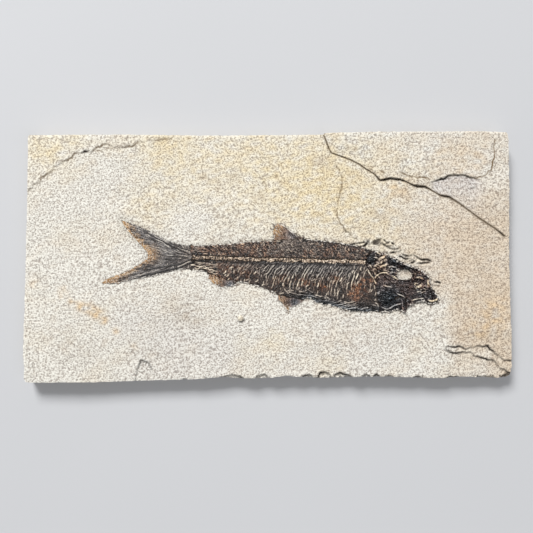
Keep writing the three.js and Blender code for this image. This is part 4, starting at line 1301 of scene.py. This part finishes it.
# The bones that stand out in the head: path, half width, rise and tone
HEAD_BONES = [
    ([(80.5, -1.3), (83.5, -2), (87, -4.2), (89.5, -6.3)], 1.9, 0.4, 0.04),
    ([(88.5, -5.6), (93.2, -7.8), (98.6, -9.6), (103, -11.2)], 0.9, 0.4, 0.05),
    ([(84.8, -3.8), (86.6, -5)], 0.6, 0.3, 0.5),
    ([(66.5, -5), (70, -5.2), (74, -4.6)], 0.6, -0.4, 0.02),
    ([(73.6, -10.8), (76, -10.6), (78.8, -9.4)], 0.7, -0.4, 0.02),
    ([(67.8, -1.6), (70.2, -2.4), (72.6, -3.2)], 0.9, 0.3, 0.12),
    ([(98.8, -12.4), (99, -16.2)], 0.6, -0.3, 0.03),
    ([(88.2, -18.1), (93, -18.2), (100, -17.8), (107, -17.8)], 0.7, -0.2, 0.05),
    ([(101.6, -12.4), (102.7, -12.9)], 0.6, -0.3, 0.03),
    ([(104.2, -12.8), (105.4, -13.4)], 0.7, 0.3, 0.03),
    ([(107.2, -13.8), (108.2, -16.6)], 1.1, 0.5, 0.04),
    ([(107.1, -24.8), (110.6, -25.8), (114.1, -27.8), (115.5, -29.3)], 1.4, 0.6, 0.05),
    ([(107, -31.4), (109.5, -32.8), (112.5, -33.2), (115.3, -32), (116.4, -30.6)], 0.9, 0.3, 0.02),
    ([(72.1, -16.1), (74, -14.2), (76.7, -12.7), (79.4, -11.9), (80.9, -12.3)], 0.5, 0.6, 0.88),
    ([(84, -14.2), (86, -15.2), (88.2, -16.8)], 0.5, 0.5, 0.92),
    ([(67.5, -9.6), (69, -13), (70.9, -15.4), (72.1, -17.7), (73.2, -20)], 0.48, 0.6, 0.88),
    ([(64.8, -13.8), (66, -11.6), (67.5, -9.6)], 0.4, 0.5, 0.75),
    ([(75.6, -2.8), (77.6, -1.8), (79.4, 0.2)], 0.75, 0.5, 0.88),
    ([(72.2, -7.8), (74.8, -6.4)], 0.7, 0.5, 0.82),
    ([(76, -8.2), (78.6, -7.2), (81, -5.8)], 0.65, 0.5, 0.88),
    ([(71.4, -9.6), (73.2, -9.8)], 0.6, 0.4, 0.75),
    ([(81.8, -8.8), (84.2, -8), (87.2, -8.8)], 0.5, 0.5, 0.8),
    ([(83.4, -11.8), (85.6, -12.2)], 0.45, 0.5, 0.9),
    ([(82.2, -10.3), (83, -10.7)], 0.4, -0.3, 0.03),
    ([(85, -10.6), (85.8, -10.9)], 0.4, -0.3, 0.03),
    ([(84.4, -13.1), (86.6, -13.3)], 0.4, -0.3, 0.03),
    ([(91.2, -5.8), (95.3, -7.2), (98.8, -8.6)], 0.45, 0.5, 0.8),
    ([(78.2, -20.8), (80.9, -21.5), (84.4, -22.3)], 0.45, 0.4, 0.78),
    ([(100.5, -15.8), (103, -15.4), (105.6, -16.2)], 0.6, 0.4, 0.75),
    ([(100.6, -22.6), (102.5, -21.4), (104.4, -20.6)], 0.8, 0.5, 0.85),
    ([(108.5, -17.6), (108.7, -19.4), (109, -21.2)], 0.55, 0.5, 0.88),
    ([(103.2, -26.2), (106.7, -25)], 0.4, 0.4, 0.8),
    ([(96.8, -31.4), (100, -30.4), (104, -29.9), (106.3, -30.4)], 0.4, 0.5, 0.85),
    ([(108.6, -30.8), (110.8, -31.4), (113, -31.2), (115.4, -29.9)], 0.6, 0.8, 1),
    ([(87.1, -25.8), (89.8, -27.6), (92.5, -29.3)], 0.4, 0.5, 0.82),
    ([(76.6, -23.4), (78.6, -24.2)], 0.7, 0.3, 0.55),
    ([(73.4, -26.6), (75.6, -25.8)], 0.7, 0.3, 0.6),
    ([(81.6, -29.6), (83.4, -29)], 0.6, 0.3, 0.55),
    ([(76.3, -35.6), (79.8, -37.1), (83.3, -35.6), (86.9, -33.9), (90.9, -33.4)], 0.45, 0.6, 0.75),
    ([(90.4, -29.7), (91.1, -32.7), (91.3, -36.2), (91.1, -38.7)], 0.45, 0.6, 0.5),
]
# Parts of the head that are pale, dark, smooth and purple-brown, rusty, blue-black or tan
HEAD_LIGHT = [
    (74, -7, 4, 0.2), (84.5, -10.3, 3.5, 0.3), (77, -1, 3, 0.25), (79.5, -6.5, 3, 0.25), (93, -7, 3, 0.15),
    (101, -12.5, 4, 0.3), (104, -22, 3.5, 0.25), (108, -20, 3, 0.3),
]
HEAD_DARK = [
    (86, -3.5, 4, 0.8), (94, -8.4, 3.5, 0.75), (102, -11, 3, 0.5), (80, -31, 9, 0.75),
    (89, -34, 6, 0.6), (101, -30, 6, 0.5), (71, -4, 3, 0.5), (111, -27, 5, 0.7),
]
HEAD_CALM = [
    (77, -16.5, 4, 0.6), (82.5, -17, 3.5, 0.6), (88, -21, 4.5, 0.6), (94, -22.5, 5, 0.65),
    (99, -24, 4, 0.5),
]
HEAD_RUST = [(70, -19, 3, 0.8), (80, -21.5, 2.5, 0.5), (74, -9, 2.5, 0.4)]
HEAD_BLUE = [
    (82, -30, 10, 1.1), (70, -3, 4, 0.9), (85, -10.5, 3.5, 0.6), (104, -28, 6, 0.6),
    (86, -3.5, 4.5, 0.9), (95, -8.5, 4, 0.7),
]
HEAD_TAN = [(74, -8, 5, 0.6), (78, -3, 3, 0.5), (100, -10, 4, 0.3)]
# The way that most of the head's broken bones run, and how far they can stand up
HEAD_SLANT = math.radians(-32)
HEAD_RISE = 2.6 * MM


def plates(relief, seed, count, gap):
    """Breaks a surface into small tilted plates, each with its own height and tone, and dark gaps."""
    draw = np.random.default_rng(seed)
    at = relief.at + 0.5 * MM * np.stack([waves(seed + n, 3 * MM)(relief.at) for n in (20, 21)], 1)
    middles = at[draw.choice(len(at), count)]
    offset = at[:, None] - middles[None]
    along = offset @ np.array([math.cos(HEAD_SLANT), math.sin(HEAD_SLANT)])
    across = offset @ np.array([-math.sin(HEAD_SLANT), math.cos(HEAD_SLANT)])
    distance = np.hypot(along / 1.7, across)
    near, second = np.argsort(distance, axis=1)[:, :2].T
    row = np.arange(len(at))
    margin = distance[row, second] - distance[row, near]
    height, shade = draw.uniform(-1, 1, (2, count))[:, near]
    tilt = draw.normal(0, 0.14, (count, 2))[near]
    relief.z += 0.3 * MM * height + (offset[row, near] * tilt).sum(1).clip(-0.6 * MM, 0.6 * MM)
    tone = relief.mask("tone")
    tone += 0.2 * shade + 0.25 * np.clip(shade, 0, 1) ** 3
    dark_gap = smooth(gap - margin, 0, gap)
    relief.z -= 0.3 * MM * dark_gap
    tone *= 1 - 0.85 * dark_gap


def draw_bones(relief):
    """Raises the bones that stand out in the head."""
    for path, width, rise, tone in HEAD_BONES:
        relief.ridge(places(path), 1.2 * width * MM, rise * MM, tone, 0.98, shade=0.9)


def head_bone(name, outline, seed, plate_count, splinter_count, hole=None):
    """A part of the crushed head: broken, overlapping bones with sharp crests and black gaps."""
    relief = Relief(outline, HEAD_SPACING, hole=hole, jitter=fish_edge)
    at = relief.at
    tone = relief.mask("tone")
    coarse = waves(seed, 3.4 * MM, spread=0.3)(at)
    fine = waves(seed + 2, 1.1 * MM, spread=0.3)(at)
    relief.z += 0.7 * MM + 0.2 * MM * coarse + 0.08 * MM * fine
    light = blobs(at, HEAD_LIGHT)
    tone += 0.26 + 0.06 * coarse + 0.08 * fine + light
    stain = np.clip(0.05 + 0.2 * waves(seed + 3, 5 * MM)(at), 0, 1)
    relief.mask("rust")[:] = stain + blobs(at, HEAD_RUST)
    relief.mask("blue")[:] = np.clip(blobs(at, HEAD_BLUE), 0, 1)
    relief.mask("ochre")[:] = blobs(at, HEAD_TAN)
    plates(relief, seed + 9, plate_count, 0.5 * MM)
    width = 0.55 * MM
    count = splinter_count
    splinters(relief, seed + 5, count, HEAD_SLANT, 0.6, 3.6 * MM, width, 0.3 * MM, (0.0, 0.08), 0.95)
    splinters(relief, seed + 4, count, HEAD_SLANT, 0.6, 3.2 * MM, width, 0.5 * MM, (0.4, 1), 0.95)
    calm = np.clip(blobs(at, HEAD_CALM), 0, 0.8)
    tone += (0.3 + 0.13 * fine - tone) * calm
    tone *= 1 - np.clip(blobs(at, HEAD_DARK), 0, 0.7)
    pale = light > 0.06
    count = int(splinter_count * 1.6 * pale.mean())
    if count:
        splinters(relief, seed + 7, count, HEAD_SLANT, 0.7, 2.6 * MM, width, 0.5 * MM, (0.7, 1), 0.98, pale)
    draw_bones(relief)
    relief.lay_bare(outline, (0.8 if hole is not None else 0.6) * MM, seed + 8)
    relief.z = FACE + HEAD_RISE * np.tanh((relief.z - FACE) / HEAD_RISE)
    return relief.build(name, FISH_FLOOR)


# Sockets of a mix node that takes colours, after those for numbers and vectors
MIX_FIRST_COLOUR = 6
MIX_COLOUR_OUT = 2


class Painter:
    """A material's nodes, added one by one from short calls."""

    def __init__(self, name):
        self.material = bpy.data.materials.new(name)
        self.material.use_nodes = True
        self.tree = self.material.node_tree
        self.shader = self.tree.nodes["Principled BSDF"]
        self.place = self.tree.nodes.new("ShaderNodeNewGeometry").outputs["Position"]

    def link(self, value, socket):
        """Feeds a socket from another node's output, or with a fixed value."""
        if hasattr(value, "links"):
            self.tree.links.new(value, socket)
        else:
            socket.default_value = value

    def mask(self, name):
        """One of the masks that the mesh holds."""
        node = self.tree.nodes.new("ShaderNodeAttribute")
        node.attribute_name = name
        return node.outputs["Fac"]

    def noise(self, length, detail=3.0, roughness=0.55, stretch=None):
        """Soft noise whose blots are about a given length."""
        node = self.tree.nodes.new("ShaderNodeTexNoise")
        node.inputs["Scale"].default_value = 1 / length
        node.inputs["Detail"].default_value = detail
        node.inputs["Roughness"].default_value = roughness
        place = self.place
        if stretch:
            mapping = self.tree.nodes.new("ShaderNodeMapping")
            mapping.inputs["Scale"].default_value = stretch
            self.tree.links.new(place, mapping.inputs["Vector"])
            place = mapping.outputs["Vector"]
        self.tree.links.new(place, node.inputs["Vector"])
        return node.outputs["Fac"]

    def math(self, kind, first, second=0.0, third=0.0):
        node = self.tree.nodes.new("ShaderNodeMath")
        node.operation = kind
        for value, socket in zip((first, second, third), node.inputs):
            self.link(value, socket)
        return node.outputs[0]

    def spread(self, value, low, high, to_low=0.0, to_high=1.0):
        """A value moved from one range to another."""
        node = self.tree.nodes.new("ShaderNodeMapRange")
        for key, number in (("From Min", low), ("From Max", high), ("To Min", to_low), ("To Max", to_high)):
            node.inputs[key].default_value = number
        self.link(value, node.inputs["Value"])
        return node.outputs["Result"]

    def mix(self, factor, first, second, kind="MIX"):
        node = self.tree.nodes.new("ShaderNodeMix")
        node.data_type = "RGBA"
        node.blend_type = kind
        self.link(factor, node.inputs["Factor"])
        self.link(first, node.inputs[MIX_FIRST_COLOUR])
        self.link(second, node.inputs[MIX_FIRST_COLOUR + 1])
        return node.outputs[MIX_COLOUR_OUT]

    def ramp(self, value, stops):
        """The colour that a scale of colours has at a value."""
        node = self.tree.nodes.new("ShaderNodeValToRGB")
        elements = node.color_ramp.elements
        while len(elements) < len(stops):
            elements.new(0.5)
        for element, (position, colour) in zip(elements, stops):
            element.position = position
            element.color = colour
        self.link(value, node.inputs["Fac"])
        return node.outputs["Color"]

    def bump(self, height, depth):
        """Grain too fine for the mesh."""
        node = self.tree.nodes.new("ShaderNodeBump")
        node.inputs["Strength"].default_value = 1.0
        node.inputs["Distance"].default_value = depth
        self.link(height, node.inputs["Height"])
        self.tree.links.new(node.outputs["Normal"], self.shader.inputs["Normal"])

    def finish(self, colour, roughness):
        self.link(colour, self.shader.inputs["Base Color"])
        self.link(roughness, self.shader.inputs["Roughness"])
        return self.material


def srgb(red, green, blue):
    """A colour as it looks on a screen, from 0 to 255, as the light that a shader takes."""
    def light(value):
        value /= 255
        return value / 12.92 if value <= 0.04045 else ((value + 0.055) / 1.055) ** 2.4

    return (light(red), light(green), light(blue), 1.0)


def scale_of(*colours):
    """Evenly spaced stops of a colour ramp."""
    return [(index / (len(colours) - 1), srgb(*colour)) for index, colour in enumerate(colours)]


BONE = scale_of((14, 12, 12), (66, 56, 50), (118, 106, 98), (172, 160, 144), (228, 216, 194))
RUST = scale_of((18, 12, 10), (80, 52, 38), (138, 92, 62), (184, 142, 104), (224, 200, 168))
OCHRE = scale_of((60, 46, 32), (126, 94, 60), (166, 128, 82), (194, 158, 110), (224, 204, 164))
MAUVE = scale_of((15, 13, 14), (76, 62, 60), (126, 112, 104), (184, 168, 146), (236, 220, 186))
BLUE = scale_of((8, 11, 14), (38, 45, 50), (92, 100, 108), (150, 154, 158), (212, 212, 210))
TAN = scale_of((10, 8, 7), (84, 70, 58), (142, 123, 105), (184, 164, 143), (222, 207, 188))

# Colours of the stone's masks: its tints below the grain, and the marks above it. Seam and dark are painted
# shade: brown in shallow cracks, near black in deep cracks, chips and hollows.
STONE_TINTS = [
    ("yellow", (231, 216, 179)), ("tan", (213, 198, 178)), ("grey", (208, 204, 202)),
    ("smudge", (190, 178, 162)), ("stain", (222, 190, 144)),
]
STONE_MARKS_AND_SHADE = [("seam", (108, 87, 60)), ("film", (52, 44, 38)), ("dark", (34, 27, 21))]
PITS = [
    (0.0, srgb(178, 172, 170)), (0.35, srgb(217, 213, 211)), (0.62, srgb(243, 243, 242)),
    (1.0, srgb(255, 255, 255)),
]
BEDS = [
    (0.3, srgb(176, 160, 138)), (0.45, srgb(214, 202, 182)), (0.6, srgb(236, 230, 218)),
    (0.75, srgb(190, 176, 156)),
]


def limestone():
    """Cream stone with soft patches of other tints, pale grains, split beds at its sides, and painted shade
    in its cracks, chips and hollows.
    """
    paint = Painter("limestone")
    base = paint.mix(paint.noise(14 * MM), srgb(224, 221, 212), srgb(232, 229, 221))
    for mask, tint in STONE_TINTS:
        base = paint.mix(paint.mask(mask), base, srgb(*tint))
    coarse = paint.spread(paint.noise(1.7 * MM, 1.0, 0.5), 0.3, 0.7, -0.2, 0.2)
    fine = paint.spread(paint.noise(1.0 * MM, 1.0, 0.5), 0.28, 0.72, -0.6, 0.6)
    grain = paint.math("ADD", paint.spread(paint.mask("grain"), -3.8, 3.8), paint.math("ADD", coarse, fine))
    base = paint.mix(1.0, base, paint.ramp(grain, PITS), "MULTIPLY")
    beds = paint.noise(3.2 * MM, 3.0, 0.6, stretch=(0.06, 0.06, 2.2))
    base = paint.mix(paint.math("MULTIPLY", paint.mask("wall"), 0.75), base, paint.ramp(beds, BEDS))
    for mask, tint in STONE_MARKS_AND_SHADE:
        base = paint.mix(paint.mask(mask), base, srgb(*tint))
    base = paint.mix(paint.spread(paint.mask("bone"), 0.2, 0.4), base, paint.ramp(paint.mask("bone"), BONE))
    paint.bump(paint.math("ADD", coarse, fine), 0.18 * MM)
    paint.shader.inputs["Specular IOR Level"].default_value = 0.25
    return paint.finish(base, 0.92)


def fossil(name, bone, rust, ochre, blue, rough=(0.42, 0.68)):
    """Fossil bone and skin: four ramps of colour by tone, chosen between by the masks."""
    paint = Painter(name)
    speckle = paint.spread(paint.noise(0.9 * MM, 3.0, 0.6), 0.3, 0.7, -0.14, 0.14)
    tone = paint.math("ADD", paint.mask("tone"), speckle)
    base = paint.ramp(tone, bone)
    for mask, colours in (("rust", rust), ("ochre", ochre), ("blue", blue)):
        base = paint.mix(paint.mask(mask), base, paint.ramp(tone, colours))
    grit = paint.spread(paint.noise(0.95 * MM, 2.0, 0.6), 0.25, 0.75)
    base = paint.mix(paint.mask("bare"), base, paint.mix(grit, srgb(188, 178, 166), srgb(240, 236, 228)))
    paint.bump(paint.noise(0.6 * MM, 3.0, 0.6), 0.1 * MM)
    paint.shader.inputs["Specular IOR Level"].default_value = 0.4
    return paint.finish(base, paint.spread(tone, 0.0, 1.0, *rough))


def floor():
    """A plain pale floor under the slab."""
    half = 3.0
    mesh = bpy.data.meshes.new("floor")
    corners = [(-half, -half, 0), (half, -half, 0), (half, half, 0), (-half, half, 0)]
    mesh.from_pydata(corners, [], [(0, 1, 2, 3)])
    plane = bpy.data.objects.new("floor", mesh)
    bpy.context.scene.collection.objects.link(plane)
    paint = Painter("floor_paint")
    colour = paint.mix(paint.noise(0.4), srgb(186, 187, 190), srgb(192, 193, 196))
    mesh.materials.append(paint.finish(colour, 0.8))


# The photograph's camera: lens and sensor in millimetres, its place over the face, and its small tilt
LENS = 38.97
SENSOR = 36
CAMERA_PLACE = Vector((-5.46 * MM, -22.34 * MM, 393.09 * MM + FACE))
CAMERA_TILT = {"X": -2.17, "Y": 0.608, "Z": 0.31}


def camera():
    """A camera that looks almost straight down on the slab, which lies on its back."""
    data = bpy.data.cameras.new("camera")
    data.lens = LENS
    data.sensor_width = SENSOR
    view = bpy.data.objects.new("camera", data)
    bpy.context.scene.collection.objects.link(view)
    tilt_x, tilt_y, tilt_z = (
        Matrix.Rotation(math.radians(degrees), 3, axis) for axis, degrees in CAMERA_TILT.items()
    )
    turn = tilt_z @ tilt_y @ tilt_x
    view.matrix_world = Matrix.Translation(CAMERA_PLACE) @ turn.transposed().to_4x4()
    bpy.context.scene.camera = view


def area_light(name, place, size, power, colour):
    """A soft lamp that points at the middle of the slab."""
    data = bpy.data.lights.new(name, "AREA")
    data.size = size
    data.energy = power
    data.color = colour
    lamp = bpy.data.objects.new(name, data)
    bpy.context.scene.collection.objects.link(lamp)
    lamp.location = place
    lamp.rotation_euler = (-Vector(place)).to_track_quat("-Z", "Y").to_euler()


def lights():
    """A large lamp from the upper left, a weak one from the lower right, and an even white sky."""
    area_light("key", (-1.35, 3.0, 2.85), size=1.5, power=240, colour=(1.0, 1.0, 0.99))
    area_light("fill", (1.4, -1.2, 2.8), size=2.4, power=22, colour=(0.95, 0.97, 1.0))
    world = bpy.data.worlds.new("studio")
    world.use_nodes = True
    sky = world.node_tree.nodes["Background"].inputs
    sky["Color"].default_value = (1, 1, 1, 1)
    sky["Strength"].default_value = 0.35
    bpy.context.scene.world = world
    bpy.context.scene.view_settings.view_transform = "Standard"


def dress(piece, material, node):
    """Gives a piece its material, and puts it in the place of a solid."""
    piece.data.materials.append(material)
    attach(piece, "root")
    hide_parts(node)


camera()
lights()
floor()

stone = limestone()
dress(slab_stone(), stone, "slab")
dress(corner_stone(), stone, "corner_fragment")

skin = fossil("skin", BONE, RUST, OCHRE, BLUE)
dress(back_skin(), skin, "back_flank")
dress(rib_side(), skin, "rib_cage")
vertebrae = fossil("vertebrae", TAN, RUST, OCHRE, BLUE)
dress(backbone_bone(), vertebrae, "backbone")
head = fossil("head", MAUVE, RUST, TAN, BLUE, rough=(0.32, 0.6))
dress(head_bone("skull_bones", SKULL_OUTLINE, 101, 90, 120, hole=ORBIT), head, "skull")
dress(head_bone("gill_cover_bones", GILL_OUTLINE, 111, 44, 56), head, "gill_cover")
dress(head_bone("jaw_bones", JAW_OUTLINE, 121, 30, 34), head, "lower_jaw")
fins = fossil("fins", BONE, RUST, OCHRE, BLUE, rough=(0.5, 0.75))
dress(tail_bone(), fins, "tail_fin")
dorsal = fin_of(
    "dorsal_rays", DORSAL_OUTLINE,
    roots=[(23, 11.6), (5, 10.8)], tips=[(19, 14.2), (10.8, 20), (4, 20), (3.6, 15)], count=9,
    ochre=[(4, 16, 4.5, 1.1), (8, 20, 3, 0.5)], blue=[(17, 14, 6, 0.7)], seed=131,
)
dress(dorsal, fins, "dorsal_fin")
pelvic = fin_of(
    "pelvic_rays", PELVIC_OUTLINE,
    roots=[(21, -29.8), (7.5, -27.4)], tips=[(21, -32.6), (14, -35.6), (8, -31)], count=8,
    ochre=[(9, -31, 3, 0.45), (13, -37, 3, 0.9)], blue=[(18, -32, 5, 0.9)], seed=141,
)
dress(pelvic, fins, "pelvic_fin")
anal = fin_of(
    "anal_rays", ANAL_OUTLINE,
    roots=[(-22.6, -17.6), (-39, -12.4)], tips=[(-22, -19.4), (-32, -21), (-40, -15)], count=9,
    ochre=[(-37, -18, 4, 1.2)], blue=[(-26, -20, 5, 0.9)], seed=151,
)
dress(anal, fins, "anal_fin")
